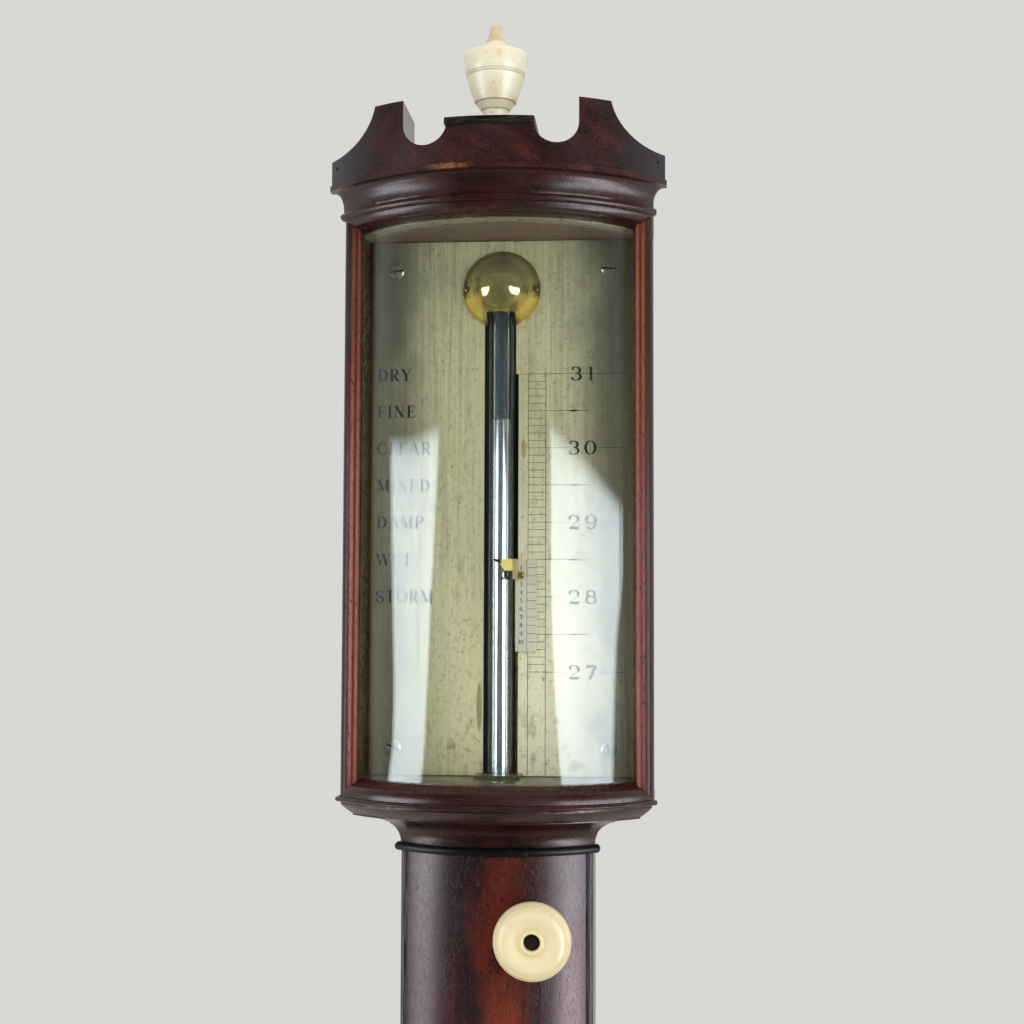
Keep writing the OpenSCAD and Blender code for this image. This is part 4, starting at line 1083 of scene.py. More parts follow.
def slotted_heads():
    """Round-headed screws with a slot, one on each point; the point's turn gives the slot's angle."""
    made = bpy.data.node_groups.get("slotted heads")
    if made:
        return made
    t = Tree(
        "slotted heads", Radius="Float", Dome="Float", Slot_Width="Float", Slot_Depth="Float",
        Material="Material"
    )
    i = t.input
    ball = t.add("GeometryNodeMeshUVSphere", {"Segments": 40, "Rings": 20, "Radius": 1.0})
    swell = t.vector(i["Radius"], i["Dome"], i["Radius"])
    ball = t.add("GeometryNodeTransform", {"Geometry": ball, "Scale": swell})
    deep = t.times(i["Slot Depth"], 2.0)
    size = t.vector(t.times(i["Radius"], 3.0), deep, i["Slot Width"])
    front = t.vector(0.0, t.times(i["Dome"], -1.0), 0.0)
    bar = t.add("GeometryNodeMeshCube", {"Size": size})
    bar = t.add("GeometryNodeSetPosition", {"Geometry": bar, "Offset": front})
    both = {"Mesh 1": ball, "Mesh 2": bar}
    head = t.add("GeometryNodeMeshBoolean", both, operation="DIFFERENCE", solver="EXACT")
    turn = t.add("GeometryNodeInputNamedAttribute", {"Name": "turn"}, data_type="FLOAT")
    heads = {"Points": i["Geometry"], "Instance": head, "Rotation": t.vector(0.0, turn, 0.0)}
    return t.close(t.add("GeometryNodeInstanceOnPoints", heads))


def grown(tree, points=(), turns=(), **inputs):
    """The plain mesh that a tree makes on some points."""
    mesh = bpy.data.meshes.new("seed")
    mesh.from_pydata(list(points), [], [])
    if turns:
        mesh.attributes.new("turn", "FLOAT", "POINT").data.foreach_set("value", list(turns))
    seed = in_scene("seed", mesh)
    grower = seed.modifiers.new("grow", "NODES")
    grower.node_group = tree
    for item in tree.interface.items_tree:
        label = item.name.replace(" ", "_")
        if item.item_type == "SOCKET" and item.in_out == "INPUT" and label in inputs:
            grower[item.identifier] = inputs[label]
    made = baked(seed)
    bpy.data.objects.remove(seed)
    return made


def gather(name, meshes, finish_name):
    """One piece of several grown meshes."""
    bm = bmesh.new()
    for mesh in meshes:
        bm.from_mesh(mesh)
        bpy.data.meshes.remove(mesh)
    bmesh.ops.recalc_face_normals(bm, faces=bm.faces)
    return piece(name, bm, finish_name)


def ruled(face, count, x, z, pitch, far, width):
    """Engraved lines from x to far on a plate's face, the lowest at z."""
    return grown(
        ruled_lines(), Count=count, First=(x, face, z), Pitch=pitch, Length=far - x, Width=width,
        Depth=2 * scale().ink, Material=finish("engraving_wax")
    )


def head_pair(node, radius, dome):
    """The middles of a node's two screw heads, side by side."""
    low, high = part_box(node)
    return [(x, low.y + dome * MM, middle(node).z) for x in (low.x + radius * MM, high.x - radius * MM)]


def screws(node, finish_name, turns, radius, dome, slot_w, spots=None):
    """Slotted heads in the places of a node's screws, with their slots darkened by dirt and painted shade.
    """
    spots = spots or head_pair(node, radius, dome)
    heads = grown(
        slotted_heads(), spots, [math.radians(a) for a in turns], Radius=radius * MM, Dome=dome * MM,
        Slot_Width=slot_w * MM, Slot_Depth=dome * 0.6 * MM, Material=finish(finish_name)
    )
    obj = gather(node + ".heads", [heads], finish_name)
    obj.data.materials.append(finish("pit_black"))
    slot_share = 0.86  # faces nearer to the head's middle than this share of its surface lie in the slot
    for face in obj.data.polygons:
        away = min((face.center - Vector(spot) for spot in spots), key=lambda v: v.length) / MM
        share = (away.x ** 2 + away.z ** 2) / radius ** 2 + away.y ** 2 / dome ** 2
        # faces in the slot get the dark finish: dirt and painted shade
        face.material_index = int(share < slot_share)
    return settle(obj, node)


# Operators, one for each piece or group of like pieces


class Builder(bpy.types.Operator):
    """Makes a part of the barometer's looks."""

    bl_idname = "barometer.builder"
    bl_label = "Barometer part"
    bl_options = {"REGISTER", "UNDO"}

    def execute(self, context):
        self.build()
        return {"FINISHED"}


class BAROMETER_OT_back(Builder):
    """Backboard with its brass hanging plate"""

    bl_idname = "barometer.back"
    bl_label = "Backboard"

    def build(self):
        dressed("backboard", "carcase_board", 0.5 * MM)
        dressed("hanging_plate", "brass_plain", 0.25 * MM)
        dressed("hanging_plate_screws", "brass_plain", 0.1 * MM)


class BAROMETER_OT_trunk(Builder):
    """Bowed trunk with ebonised beads along its edges and at both ends"""

    bl_idname = "barometer.trunk"
    bl_label = "Trunk"

    def build(self):
        low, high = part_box("trunk_front")
        half_w, wall = high.x, case().trunk_wall
        radius = half_w + case().bow_extra
        notch_w, notch_y = 28 * MM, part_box("backboard")[0].y
        inner_w = half_w - wall
        outline = [(-half_w, 0)] + bow_line(radius, half_w)
        outline += [(half_w, 0), (notch_w, 0), (notch_w, notch_y), (inner_w, notch_y)]
        outline += bow_line(radius - wall, inner_w)[::-1]
        outline += [(-inner_w, notch_y), (-notch_w, notch_y), (-notch_w, 0)]
        front = piece("trunk_front.dressed", prism(outline, low.z, high.z), "mahogany_trunk")
        spindle, bush = middle("knob_spindle"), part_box("spindle_bush")
        hole = drill((bush[1].x - bush[0].x) / 2, -30 * MM, 20 * MM)
        carved(front, lathe(hole, Vector((spindle.x, low.y, spindle.z)), 48, "FRONT"))
        crease(front, 32)
        settle(front, "trunk_front")
        dressed("trunk_edge_beads", "slate_bead", 0)
        dressed("neck_bead", "ebonised", 0.1 * MM)
        dressed("trunk_base_bead", "ebonised", 0.1 * MM)


class BAROMETER_OT_hood(Builder):
    """Hood: base moulding, mitred frame round the glass, cheeks, soffit and cornice"""

    bl_idname = "barometer.hood"
    bl_label = "Hood"

    def build(self):
        for node in ("bottom_rail", "top_rail"):
            dressed(node, "mahogany_across", 0.14 * MM)
        dressed("cornice", "mahogany_cornice", 0.14 * MM)
        for node in ("left_stile", "right_stile"):
            dressed(node, "mahogany_stile", 0.16 * MM, 28)
        for node in ("left_cheek", "right_cheek"):
            dressed(node, "mahogany_cheek", 0.16 * MM, 28)
        dressed("hood_soffit", "soffit_board")
        self.base()

    def base(self):
        """The base moulding, with a broad hollow over the trunk."""
        base = dressed("hood_base", "mahogany_across", 0)
        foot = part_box("hood_base")[0].z
        neck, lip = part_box("trunk_front")[1].x + 0.6 * MM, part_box("left_stile")[0].x
        step_x, step_z = -lip - 4.6 * MM, foot + 9.3 * MM
        hollow = arc(step_x, foot, neck - step_x, step_z - foot, 0, 90, 20)
        slant = [(0, 0.45), (0.35, 0.6), (1.3, 1.35), (2.5, 2.35), (3.3, 3.1), (3.8, 3.7)]
        slant = [(step_x + x * MM, step_z + z * MM) for x, z in slant]
        far, slant_top, under = 90 * MM, step_z + 4 * MM, foot - MM
        below = [(neck, under)] + hollow + slant + [(far, slant_top), (far, under)]
        ring = [(x + case().bow_extra, z) for x, z in below]
        carved(base, lathe(ring, Vector((0, case().bow_axis, 0)), 192, closed=True))
        for side in (-1, 1):
            carved(base, prism([(side * x, z) for x, z in below], -far, 10 * MM, "Y"))
        crease(base, 30)
        soften(base, 0.14 * MM)


class BAROMETER_OT_pediment(Builder):
    """Scrolled pediment with its ebonised cap and nail holes"""

    bl_idname = "barometer.pediment"
    bl_label = "Pediment"

    def build(self):
        low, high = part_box("pediment")
        foot, half_w = low.z, high.x
        plinth_w, cut_r = 13.7 * MM, 7.4 * MM
        plinth_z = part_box("pediment_cap")[0].z
        cut_x, cut_z = plinth_w + cut_r, foot + 6.7 * MM + cut_r
        horn_in, sweep_r = plinth_w + 2 * cut_r, 17.7 * MM
        sweep_z = foot + 8.2 * MM + sweep_r
        top_turn = 180 + math.degrees(math.asin((sweep_z - high.z) / sweep_r))
        lip = math.degrees(math.asin((cut_z - plinth_z) / cut_r))
        right = [(half_w, foot)] + arc(half_w, sweep_z, sweep_r, sweep_r, 270, top_turn, 14)
        right += [(horn_in, high.z)] + arc(cut_x, cut_z, cut_r, cut_r, 0, -180 + lip, 20)
        outline = right + [(-x, z) for x, z in reversed(right)]
        front, step = -90 * MM, 2 * MM
        bm = prism(outline, front, high.y, "Y")
        for k in range(int(-half_w / step), int(half_w / step) + 1):
            geometry = bm.verts[:] + bm.edges[:] + bm.faces[:]
            cut = Vector((k * step, 0, 0))
            bmesh.ops.bisect_plane(bm, geom=geometry, plane_co=cut, plane_no=(1, 0, 0), dist=1e-6)
        radius = half_w + case().bow_extra

        def bow_y(x):
            return case().bow_axis - math.sqrt(radius ** 2 - x ** 2)
        for vert in bm.verts:
            if vert.co.y < front + MM:
                vert.co.y = bow_y(vert.co.x)
        board = piece("pediment.dressed", bm, "mahogany_slanted", 40)
        board.data.materials.append(finish("sawn_edge"))
        for face in board.data.polygons:
            face.material_index = 0 if face.normal.y < -0.4 else 1
        settle(soften(board, case().horn_round, 3), "pediment")
        dressed("pediment_cap", "ebonised_cap", 0.4 * MM)
        # nail holes, darkened with dirt and painted shade
        pits = bmesh.new()
        nail_x, nail_z = 53.4 * MM, foot + 5.2 * MM
        pit = [(0, 0.06 * MM), (0.5 * MM, 0.05 * MM), (0.58 * MM, -0.3 * MM), (0, -0.4 * MM)]
        for x in (-nail_x, nail_x):
            lathe(pit, Vector((x, bow_y(x), nail_z)), 20, "FRONT", bm=pits)
        settle(piece("pediment_nail_holes", pits, "pit_black"), body="case", slot="mahogany")


class BAROMETER_OT_finial(Builder):
    """Turned bone urn finial"""

    bl_idname = "barometer.finial"
    bl_label = "Finial"

    def build(self):
        low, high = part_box("finial")
        tall = high.z - low.z
        foot = [(0, 0), (6.7, 0), (7, 0.3), (7, 1.3), (6.8, 1.6)] + arc(7, 3.6, -2.8, 2.0, -90, 0, 8)
        stem = [(4.15, 5.5), (4.25, 7.1), (4.5, 7.5), (4.42, 7.7), (4.8, 7.85), (5.0, 8.1), (5.6, 9.0)]
        stem += [(6.25, 9.9), (6.38, 10.1), (6.3, 10.28)]
        bowl = [(6.85, 10.4), (7.05, 10.8), (7.75, 12.9), (8.45, 15.1), (9.0, 17.0), (9.4, 18.4)]
        band = [(9.5, 18.8), (9.34, 19.0), (9.6, 19.2), (9.72, 19.6), (9.62, 19.8), (9.78, 20.0)]
        brim = [(10.1, 22.2), (10.4, 24.8), (10.55, 25.8), (10.5, 26.3), (10.2, 26.7), (9.7, 26.95)]
        lid = [(9.45, 26.9), (9.3, 27.1), (8, 27.8), (6, 28.7), (4.2, 29.5), (3.3, 30.0), (3.1, 30.4)]
        tip = [(3.05, 30.9), (2.75, 32.2), (2.2, 33.7), (1.85, 34.6), (1.75, 35.2), (1.9, 35.7)]
        tip += [(1.65, 36.2), (0.9, 36.55), (0, 36.7)]
        shape = foot + stem + bowl + band + brim + lid + tip
        stretch = tall / shape[-1][1]
        profile = [(r * MM, h * stretch) for r, h in shape]
        place = upright_axis("finial", low.z)
        settle(piece("finial.turned", lathe(profile, place, 96), "bone_turned", 38), "finial")


class BAROMETER_OT_glazing(Builder):
    """Bowed glass in the hood"""

    bl_idname = "barometer.glazing"
    bl_label = "Bowed glass"

    def build(self):
        low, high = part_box("bow_glass")
        outer = case().bow_axis - low.y
        thick = 2 * MM
        outline = bow_line(outer, high.x, 72) + bow_line(outer - thick, high.x, 72)[::-1]
        glass = piece("bow_glass.clear", prism(outline, low.z, high.z), "glass_bowed", 40)
        settle(glass, "bow_glass")


class BAROMETER_OT_register(Builder):
    """Two silvered register plates and their screws"""

    bl_idname = "barometer.register_plates"
    bl_label = "Register plates"

    def build(self):
        low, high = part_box("right_register_plate")
        dome_z = middle("bulb_cover_screws").z
        joint_z, slot_z = dome_z + 9 * MM, dome_z + 6 * MM
        slot_w, step, top_gap = 5.8 * MM, 0.9 * MM, 0.8 * MM
        top_line = scale().mark_27 + scale().inches * scale().inch
        head = [(high.x, low.z), (high.x, high.z), (top_gap, high.z), (top_gap, joint_z)]
        right = [(slot_w, low.z)] + head
        right += [(slot_w - step, slot_z), (slot_w - step, top_line), (slot_w, top_line)]
        left = [(-slot_w, low.z)] + [(-x, z) for x, z in head] + [(-slot_w, slot_z)]
        for node, outline in (("right_register_plate", right), ("left_register_plate", left)):
            plate = piece(node + ".plate", prism(outline, low.y, high.y, "Y"), "silvered_plate")
            plate.data.materials.append(finish("pit_black"))
            for face in plate.data.polygons:
                # the faces that edge the tube's slot get painted shade
                face.material_index = int(abs(face.center.x) < slot_w + MM and abs(face.normal.y) < 0.5)
            settle(soften(plate, 0.12 * MM), node)
        gap = rectangle(-top_gap, joint_z, top_gap, high.z)
        joint = piece("register_joint", prism(gap, low.y + 0.5 * MM, high.y, "Y"), "silvered_plate")
        settle(joint, body="case", slot="silvered_brass")
        first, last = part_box("plate_screws")
        inset = 2.7 * MM
        columns, rows = (first.x + inset, last.x - inset), (first.z + inset, last.z - inset)
        spots = [(x, low.y, z) for x in columns for z in rows]
        screws("plate_screws", "screw_steel", (30, -8, 74, 4), 2.7, 0.9, 0.7, spots)


class BAROMETER_OT_engraving(Builder):
    """Inch scale, figures and weather words on the plates"""

    bl_idname = "barometer.engraving"
    bl_label = "Engraving"

    words = ("STORM", "WET", "DAMP", "MIXED", "CLEAR", "FINE", "DRY")

    def build(self):
        s = scale()
        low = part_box("right_register_plate")[0]
        face, foot, tops = low.y, low.z + 0.4 * MM, s.mark_27 + s.inches * s.inch
        hair, tenth = s.hairline, s.inch / 10
        slot_edge, plate_edge, figure_end = 6 * MM, 41.5 * MM, 33.2 * MM
        inch_end, half_end = 23 * MM, 30 * MM
        rows = [
            (10 * s.inches, s.column_left, s.mark_27, tenth, s.column_right, hair * 0.85),
            (1, slot_edge, tops, tenth, plate_edge, hair),
            (s.inches, s.column_right, s.mark_27, s.inch, inch_end, hair),
            (s.inches + 1, figure_end, s.mark_27, s.inch, plate_edge, hair),
            (s.inches, s.column_right, s.mark_27 + s.inch / 2, s.inch, half_end, hair),
        ]
        for x in (s.column_left, s.column_right):
            rows.append((1, x - hair / 2, (foot + tops) / 2, tenth, x + hair / 2, tops - foot))
        lines = [ruled(face, *row) for row in rows]
        settle(gather("register_scale", lines, "engraving_wax"), body="case", slot="silvered_brass")
        self.figures(face)

    def figures(self, face):
        """Figures at the inches, diamonds half-way between them and words on the left plate."""
        s, bm = scale(), bmesh.new()
        figure_x, word_x = 27.6 * MM, -42.6 * MM
        diamond, widths = (22.4 * MM, 24.6 * MM, 26.8 * MM), (0.1 * MM, 0.75 * MM, 0.1 * MM)
        for k in range(s.inches + 1):
            figure, z = str(s.first_inch + k), s.mark_27 + k * s.inch
            engrave(bm, figure, figure_x, z, s.figure_h, face, 0.36, centred=True, wide=1.3)
        for k in range(s.inches):
            z = s.mark_27 + (k + 0.5) * s.inch
            ribbon(bm, [(x, z) for x in diamond], widths, face - s.ink, face + s.ink)
        for k, word in enumerate(self.words):
            engrave(bm, word, word_x, s.mark_27 + (k + 2) * s.inch / 2, s.word_h, face, 0.16)
        bmesh.ops.recalc_face_normals(bm, faces=bm.faces)
        settle(piece("register_figures", bm, "engraving_wax"), body="case", slot="silvered_brass")


class BAROMETER_OT_tube(Builder):
    """Glass tube with its mercury, the plug at its foot and the clip in the trunk"""

    bl_idname = "barometer.tube"
    bl_label = "Tube"

    def build(self):
        low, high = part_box("tube")
        place = upright_axis("tube")
        outer, bore = (high.x - low.x) / 2, 2.25 * MM
        cap_z = high.z - outer
        step = 0.3 * MM  # a ring this far below each round end keeps the long wall's shading straight
        profile = [(bore, low.z), (outer, low.z), (outer, cap_z - step), (outer, cap_z)]
        profile += arc(0, cap_z, outer, outer, 6, 90, 12) + arc(0, cap_z, bore, bore, 90, 0, 10)
        profile.append((bore, cap_z - step))
        glass = piece("tube.glass", lathe(profile, place, 64, closed=True), "glass_tube", 50)
        glass.data.materials.append(finish("bore_film"))
        for face in glass.data.polygons:
            across = Vector((face.center.x - place.x, face.center.y - place.y))
            face.material_index = int(across.length < bore * 1.02 and face.center.z > low.z + MM)
        settle(glass, "tube")
        metal_low, metal_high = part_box("mercury_column")
        wet, meniscus = bore + 0.02 * MM, 0.7 * MM
        brim = metal_high.z - meniscus
        column = [(0, metal_low.z), (wet, metal_low.z), (wet, brim - step)]
        column += arc(0, brim, wet, meniscus, 0, 90, 8)
        settle(piece("mercury_column.metal", lathe(column, place, 48), "mercury", 50), "mercury_column")
        dressed("floor_plug", "mahogany_across", 0.3 * MM)
        dressed("tube_clip", "brass_plain", 0.1 * MM)
        screws("tube_clip_screws", "brass_plain", (20, 65), 1.9, 0.8, 0.4)


class BAROMETER_OT_bulb_cover(Builder):
    """Polished brass cover over the tube's head"""

    bl_idname = "barometer.bulb_cover"
    bl_label = "Bulb cover"

    def build(self):
        low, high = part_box("bulb_cover")
        face = high.y
        rim, dome = (high.x - low.x) / 2, face - low.y
        wall, lip_h = 0.8 * MM, 1.1 * MM
        ball = dome - lip_h
        flare = [(1.205, 0.03), (1.16, 0.07), (1.10, 0.17), (1.01, 0.32), (0.92, 0.45)]
        shell = [(rim, 0), (rim, lip_h - 0.3 * MM), (rim - 0.3 * MM, lip_h), (1.22 * ball, lip_h)]
        shell += [(r * ball, lip_h + h * ball) for r, h in flare] + arc(0, lip_h, ball, ball, 35, 90, 30)
        shell += arc(0, lip_h, ball - wall, ball - wall, 90, 0, 30) + [(ball - wall, 0)]
        place = Vector((0, face, middle("bulb_cover_screws").z))
        turned = lathe(shell, place, 128, "FRONT", closed=True)
        cover = piece("bulb_cover.dome", turned, "cover_brass", 30)
        tube_w = 4.9 * MM
        notch = rectangle(-tube_w, place.z - 30 * MM, tube_w, place.z - 8.4 * MM)
        carved(cover, prism(notch, face - 30 * MM, face + 10 * MM, "Y"))
        for spot in head_pair("bulb_cover_screws", 0.95, 0.75):
            carved(cover, lathe(drill(1.2 * MM, 0, 9 * MM), Vector(spot), 32, "FRONT"))
        crease(cover, 30)
        settle(cover, "bulb_cover")
        screws("bulb_cover_screws", "brass_polished", (70, 15), 0.95, 0.75, 0.25)


class BAROMETER_OT_vernier(Builder):
    """Sliding vernier with its pointer, figures and rack"""

    bl_idname = "barometer.vernier"
    bl_label = "Vernier"

    def build(self):
        s = scale()
        dressed("vernier_plate", "silvered_pale", 0.08 * MM)
        dressed("rack_bar", "brass_plain", 0)
        low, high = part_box("vernier_plate")
        face, parts = low.y, 10
        part = 1.1 * s.inch / parts
        column, hair = s.column_left - 0.25 * MM, s.hairline * 0.8
        end, tall = high.x - 0.05 * MM, high.z - low.z - 0.3 * MM
        lines = [
            ruled(face, parts, column, high.z - parts * part, part, end, hair),
            ruled(face, 1, column - hair / 2, (low.z + high.z) / 2, part, column + hair / 2, tall),
        ]
        settle(gather("vernier_lines", lines, "engraving_wax"), body="vernier", slot="silvered_brass")
        bm = bmesh.new()
        for k in range(1, parts + 1):
            engrave(bm, str(k), (low.x + column) / 2, high.z - k * part, 1.35 * MM, face, 0.1, centred=True)
        bmesh.ops.recalc_face_normals(bm, faces=bm.faces)
        settle(piece("vernier_figures", bm, "engraving_wax"), body="vernier", slot="silvered_brass")
        head = middle("vernier_screw")
        spot = (head.x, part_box("vernier_screw")[0].y + 0.6 * MM, head.z)
        screws("vernier_screw", "brass_polished", (35,), 0.95, 0.6, 0.25, [spot])
        self.pointer()

    def pointer(self):
        """A brass finger bent round the tube, with a dark tip and a round hole."""
        low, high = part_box("vernier_pointer")
        leg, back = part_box("vernier_plate")[0].x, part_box("vernier_plate")[0].y
        leg_end, front = leg + 0.9 * MM, low.y + 0.8 * MM
        tab_top, tab_front = low.z + 2.9 * MM, back - 0.7 * MM
        shape = [(0, 0), (8.5, 0), (8.5, -6.9), (5.2, -6.9), (4.3, -5.8), (4.5, -4.2), (3.2, -2.2)]
        outline = [(low.x + x * MM, high.z + z * MM) for x, z in shape]
        blade = piece("vernier_pointer.finger", prism(outline, low.y, front, "Y"), "pointer_brass")
        hole = Vector((low.x + 6 * MM, low.y, high.z - 5.2 * MM))
        carved(blade, lathe(drill(MM, -5 * MM, 5 * MM), hole, 32, "FRONT"))
        bm = bmesh.new()
        bm.from_mesh(blade.data)
        prism(rectangle(leg, front, leg_end, back), low.z, high.z, bm=bm)
        prism(rectangle(leg_end, low.z, high.x, tab_top), tab_front, back, "Y", bm)
        bm.to_mesh(blade.data)
        bm.free()
        crease(blade, 32)
        settle(blade, "vernier_pointer")


class BAROMETER_OT_setting_gear(Builder):
    """Bone knob, its spindle, the pinion and the rack's guides"""

    bl_idname = "barometer.setting_gear"
    bl_label = "Setting gear"

    def build(self):
        low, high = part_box("setting_knob")
        rim = (high.x - low.x) / 2 / MM
        bore, hub = 1.5, 2.75
        shape = [(bore, 0), (rim - 3.2, 0), (rim - 2.2, 0.25)] + arc(rim - 2, 2.7, 2, 2.7, -58, 58, 14)
        shape += [(rim - 1.15, 5.4), (rim - 1.45, 5.62), (rim - 1.7, 5.58), (rim - 1.95, 5.66)]
        shape += arc(rim - 4.2, 5.0, 2.2, 1.55, 32, 105, 10)
        shape += [(rim - 5.6, 6.3), (rim - 6.5, 5.95), (rim - 7.4, 5.65), (rim - 8.2, 5.5), (rim - 8.7, 5.5)]
        shape += arc(3.45, 5.5, 0.6, 0.3, 20, 165, 8) + [(hub, 5.2), (hub - 0.1, 3.4), (bore, 3.4)]
        profile = [(r * MM, h * MM) for r, h in shape]
        place = Vector((middle("setting_knob").x, high.y, middle("setting_knob").z))
        turned = lathe(profile, place, 112, "FRONT", closed=True)
        settle(piece("setting_knob.turned", turned, "bone_knob", 42), "setting_knob")
        ring = [(bore, 3.41), (hub - 0.15, 3.41), (hub - 0.15, 3.75), (hub - 0.4, 3.95), (bore, 4.0)]
        ring = [(r * MM, h * MM) for r, h in ring]
        nut = piece("knob_nut", lathe(ring, place, 48, "FRONT", closed=True), "dark_steel")
        settle(nut, body="knob", slot="steel")
        dressed("knob_spindle", "dark_steel", 0.15 * MM)
        dressed("pinion", "brass_plain", 0)
        dressed("spindle_bush", "brass_plain", 0.1 * MM)
        dressed("rack_guides", "brass_plain", 0.1 * MM)


class BAROMETER_OT_cistern(Builder):
    """Boxwood cistern with its mercury, leather bag and pad"""

    bl_idname = "barometer.cistern"
    bl_label = "Cistern"

    def build(self):
        for node in ("cistern_lid", "cistern_cup", "cistern_base", "push_pad"):
            dressed(node, "boxwood", 0.3 * MM)
        for node in ("cistern_strap", "screw_bush"):
            dressed(node, "brass_plain", 0.15 * MM)
        dressed("mercury_pool", "mercury", 0.1 * MM)
        screws("cistern_strap_screws", "brass_plain", (10, 50), 2.0, 0.8, 0.4)
        self.bag()

    def bag(self):
        """A pleated leather bag round its mercury."""
        low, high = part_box("cistern_leather")
        place = upright_axis("cistern_leather")
        radius, tall = (high.x - low.x) / 2, high.z - low.z
        wall, gap, pleat_depth, pleats, rows = 0.8 * MM, 0.03 * MM, 0.45 * MM, 4, 24
        levels = [low.z + wall + (tall - wall) * k / rows for k in range(rows + 1)]
        turns = [2 * math.pi * pleats * k / rows for k in range(rows + 1)]
        pinch = [pleat_depth * (1 - math.cos(a)) / 2 for a in turns]
        outer = [(0, low.z), (radius - 1.2 * MM, low.z), (radius - 0.3 * MM, low.z + 0.3 * MM)]
        outer += [(radius - p, z) for p, z in zip(pinch, levels)]
        inner = [(radius - wall - p, z) for p, z in zip(pinch, levels)]
        shell = outer + inner[::-1] + [(0, low.z + wall)]
        skin = piece("cistern_leather.bag", lathe(shell, place, 64), "leather", 60)
        settle(skin, "cistern_leather", body="case")
        fill = [(0, levels[0] + gap)] + [(r - gap, z + gap) for r, z in inner[:-1]]
        fill += [(inner[-1][0] - gap, high.z), (0, high.z)]
        metal = piece("bag_mercury.metal", lathe(fill, place, 48), "mercury", 50)
        settle(metal, "bag_mercury", body="case")
        for obj in (skin, metal):
            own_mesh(obj)


class BAROMETER_OT_cistern_cover(Builder):
    """Half-turned urn over the cistern and the portable screw under it"""

    bl_idname = "barometer.cistern_cover"
    bl_label = "Cistern cover"

    def build(self):
        dressed("cistern_cover", "ebonised", 0.3 * MM)
        dressed("cistern_cover_screws", "brass_plain", 0.1 * MM)
        dressed("portable_screw", "brass_polished", 0.12 * MM)


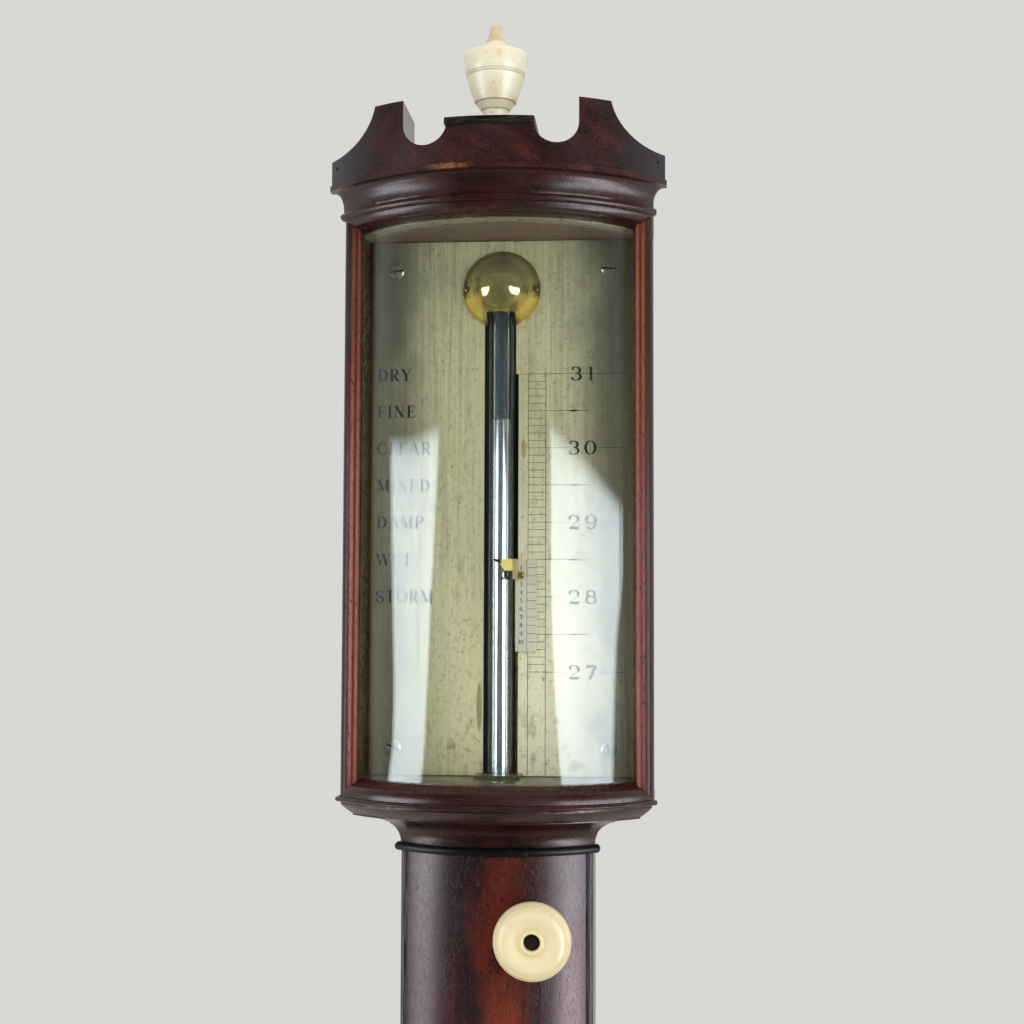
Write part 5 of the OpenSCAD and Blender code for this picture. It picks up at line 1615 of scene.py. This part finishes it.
class BAROMETER_OT_stage(Builder):
    """Camera, soft window lamps, pale backdrop and floor"""

    bl_idname = "barometer.stage"
    bl_label = "Stage"

    # The windows' left and right edges, downwards, in millimetres on upright planes before the case
    right_pane = ([(-486, 227), (-480, 163), (-474, 84), (-439, 7), (-399, -35), (-347, -80), (-250, -160)],
                  [(438, 152), (442, 119), (378, 67), (320, 35), (292, -2), (264, -78), (250, -160)])
    left_pane = ([(-272, 204), (-233, 98), (-186, -8), (-201, -51), (-262, -84), (-330, -160)],
                 [(342, 217), (310, 148), (214, -7), (192, -50), (157, -81), (110, -160)])
    right_sill = ([(-250, -160), (-330, -700)], [(250, -160), (250, -700)])
    left_sill = ([(-330, -160), (-330, -700)], [(110, -160), (60, -700)])

    def build(self):
        s = bpy.context.scene.barometer_stage
        bpy.context.scene.view_settings.view_transform = "Standard"
        self.camera(s)
        self.world(s)
        self.floor()
        eye, heart = Vector((0, 0, -0.2)), Vector((0, 0, -0.4))  # middles of the glass and of the trunk
        self.pane("window_right", eye, 62, self.right_pane, s.window, 13)
        self.pane("window_left", eye, -62, self.left_pane, s.window, 11)
        side_sheen = tint(244, 228, 238)
        sills = (("sill_right", 62, self.right_sill, 1.6), ("sill_left", -62, self.left_sill, 0.88))
        for name, azimuth, edges, level in sills:
            self.pane(name, eye, azimuth, edges, s.window * level, 0, side_sheen).visible_transmission = False
        self.lamp("key_right", heart, 50, 12, 1.6, (1.2, 1.6), 1.9)
        self.lamp("key_left", heart, -55, 10, 1.6, (1.0, 1.6), 1.35)
        self.lamp("fill_top", heart, 12, 58, 2.6, (2.4, 2.4), 1.2)
        self.lamp("fill_back", heart, 180, 30, 2.6, (2.4, 2.4), 1.0)

    def camera(self, s):
        yaw, pitch, roll = (math.radians(a) for a in (s.camera_yaw, s.camera_pitch, s.camera_roll))
        ahead = Vector((-math.sin(yaw) * math.cos(pitch), math.cos(yaw) * math.cos(pitch), math.sin(pitch)))
        right = Vector((math.cos(yaw), math.sin(yaw), 0))
        down = ahead.cross(right)
        across = right * math.cos(roll) + down * math.sin(roll)
        fall = down * math.cos(roll) - right * math.sin(roll)
        lens = bpy.data.cameras.new("camera")
        lens.lens, lens.sensor_width = s.lens, 36
        lens.clip_start = 0.01
        view = in_scene("camera", lens)
        turn = Matrix((across, -fall, -ahead)).transposed()
        view.matrix_world = Matrix.Translation(s.camera_place) @ turn.to_4x4()
        bpy.context.scene.camera = view

    def world(self, s):
        world = bpy.data.worlds.new("studio")
        bpy.context.scene.world = world
        world.use_nodes = True
        w = Shading(world.node_tree)
        ground = w.tree.nodes["Background"]
        path = w.add("ShaderNodeLightPath").outputs
        split = w.add("ShaderNodeSeparateXYZ")
        w.feed(split.inputs[0], w.add("ShaderNodeTexCoord").outputs["Generated"])
        behind = w.span(split.outputs["Y"], -0.45, 0.25, s.room, 1.0)
        even = w.maths("GREATER_THAN", path["Diffuse Depth"], 0.5)
        sharp = w.maths("MAXIMUM", path["Is Glossy Ray"], path["Is Transmission Ray"])
        sharp = w.times(sharp, w.minus(1.0, even))
        seen = w.maths("MAXIMUM", path["Is Camera Ray"], w.times(sharp, behind))
        rest = w.minus(1.0, w.maths("MAXIMUM", path["Is Camera Ray"], sharp))
        w.feed(ground.inputs["Color"], s.backdrop)
        w.feed(ground.inputs["Strength"], w.plus(seen, w.times(rest, s.ambient)))

    def floor(self):
        bm = bmesh.new()
        bmesh.ops.create_circle(bm, cap_ends=True, segments=96, radius=2.3)
        bmesh.ops.translate(bm, verts=bm.verts, vec=(0, 0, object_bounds()[0].z - 2 * MM))
        mesh = bpy.data.meshes.new("floor")
        bm.to_mesh(mesh)
        bm.free()
        ground = in_scene("floor", mesh)
        f = Finish("floor_paper")
        speck = f.noise((3, 3, 3), detail=3)
        paper = f.ramp(speck, (0.3, tint(214, 214, 211)), (0.7, tint(220, 220, 217)))
        away = f.hypot(f.axis("X"), f.axis("Y"))
        fade = f.minus(1.0, f.span(away, 1.0, 2.2))
        mesh.materials.append(f.done(Base_Color=paper, Roughness=0.9, Alpha=fade))
        ground.visible_glossy = ground.visible_transmission = False
        ground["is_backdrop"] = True

    def lamp(self, name, target, azimuth, elevation, far, size, radiance):
        """A soft lamp that lights the surfaces but isn't seen in them."""
        a, e = math.radians(azimuth), math.radians(elevation)
        back = Vector((math.sin(a) * math.cos(e), -math.cos(a) * math.cos(e), math.sin(e)))
        light = bpy.data.lights.new(name, "AREA")
        light.shape, light.size, light.size_y = "RECTANGLE", *size
        light.energy = radiance * math.pi * size[0] * size[1]
        lamp = in_scene(name, light)
        turn = back.to_track_quat("Z", "Y").to_matrix()
        lamp.matrix_world = Matrix.Translation(target + back * far) @ turn.to_4x4()
        lamp.visible_camera = lamp.visible_glossy = lamp.visible_transmission = False

    def pane(self, name, target, azimuth, edges, radiance, sag, shade=tint(232, 245, 252), far=0.85):
        """A bright window with soft edges and a top that sags, only seen in reflections."""
        def down(line, share):
            steps = [math.dist(p, q) for p, q in zip(line, line[1:])]
            left = share * sum(steps)
            for p, q, step in zip(line, line[1:], steps):
                if left <= step + 1e-6:
                    return Vector(p).lerp(Vector(q), left / step)
                left -= step
        a, count = math.radians(azimuth), 24
        soft_edge = count if sag else 2.5
        back, across = Vector((math.sin(a), -math.cos(a), 0)), Vector((math.cos(a), math.sin(a), 0))
        points, glows, faces = [], [], []
        for row in range(count + 1):
            for column in range(count + 1):
                s, t = row / count, column / count
                u, v = down(edges[0], s).lerp(down(edges[1], s), t)
                v -= sag * 4 * t * (1 - t) * (1 - s)
                points.append(target + back * far + across * u * MM + Vector((0, 0, v * MM)))
                glows.append(min(1, s * 20 if sag else 1) * min(1, t * soft_edge, (1 - t) * soft_edge))
                if row and column:
                    k = len(points) - 1
                    faces.append((k, k - 1, k - count - 2, k - count - 1))
        mesh = bpy.data.meshes.new(name)
        mesh.from_pydata(points, [], faces)
        mesh.attributes.new("glow", "FLOAT", "POINT").data.foreach_set("value", glows)
        pane = in_scene(name, mesh)
        f = Finish(name)
        glow = f.add("ShaderNodeEmission")
        sky = f.noise((90, 90, 900), detail=3)
        dim = [part * 0.86 for part in shade]
        f.feed(glow.inputs["Color"], f.ramp(sky, (0.3, dim), (0.7, shade)))
        soft = f.add("ShaderNodeAttribute", attribute_name="glow").outputs["Fac"]
        f.feed(glow.inputs["Strength"], f.times(soft, radiance))
        f.tree.links.new(glow.outputs[0], f.tree.nodes["Material Output"].inputs[0])
        f.tree.nodes.remove(f.shader)
        mesh.materials.append(f.material)
        pane.visible_camera = pane.visible_diffuse = pane.visible_shadow = False
        pane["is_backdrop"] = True
        return pane


OPERATORS = (
    BAROMETER_OT_back, BAROMETER_OT_trunk, BAROMETER_OT_hood, BAROMETER_OT_pediment,
    BAROMETER_OT_finial, BAROMETER_OT_glazing, BAROMETER_OT_register, BAROMETER_OT_engraving,
    BAROMETER_OT_tube, BAROMETER_OT_bulb_cover, BAROMETER_OT_vernier, BAROMETER_OT_setting_gear,
    BAROMETER_OT_cistern, BAROMETER_OT_cistern_cover, BAROMETER_OT_stage,
)


class BAROMETER_PT_panel(bpy.types.Panel):
    """Lists the barometer's parts"""

    bl_label = "Stick barometer"
    bl_space_type = "VIEW_3D"
    bl_region_type = "UI"
    bl_category = "Barometer"

    def draw(self, context):
        for kind in OPERATORS:
            self.layout.operator(kind.bl_idname)
        for name, kind in GROUPS.items():
            box = self.layout.box()
            box.label(text=kind.__doc__)
            for key in kind.__annotations__:
                box.prop(getattr(context.scene, name), key)


CLASSES = (*GROUPS.values(), *OPERATORS, BAROMETER_PT_panel)


def register():
    for kind in CLASSES:
        bpy.utils.register_class(kind)
    for name, kind in GROUPS.items():
        setattr(bpy.types.Scene, name, PointerProperty(type=kind))


def unregister():
    for name in GROUPS:
        delattr(bpy.types.Scene, name)
    for kind in reversed(CLASSES):
        bpy.utils.unregister_class(kind)


def main():
    register()
    for kind in OPERATORS:
        family, name = kind.bl_idname.split(".")
        getattr(getattr(bpy.ops, family), name)()


if __name__ == "__main__":
    main()
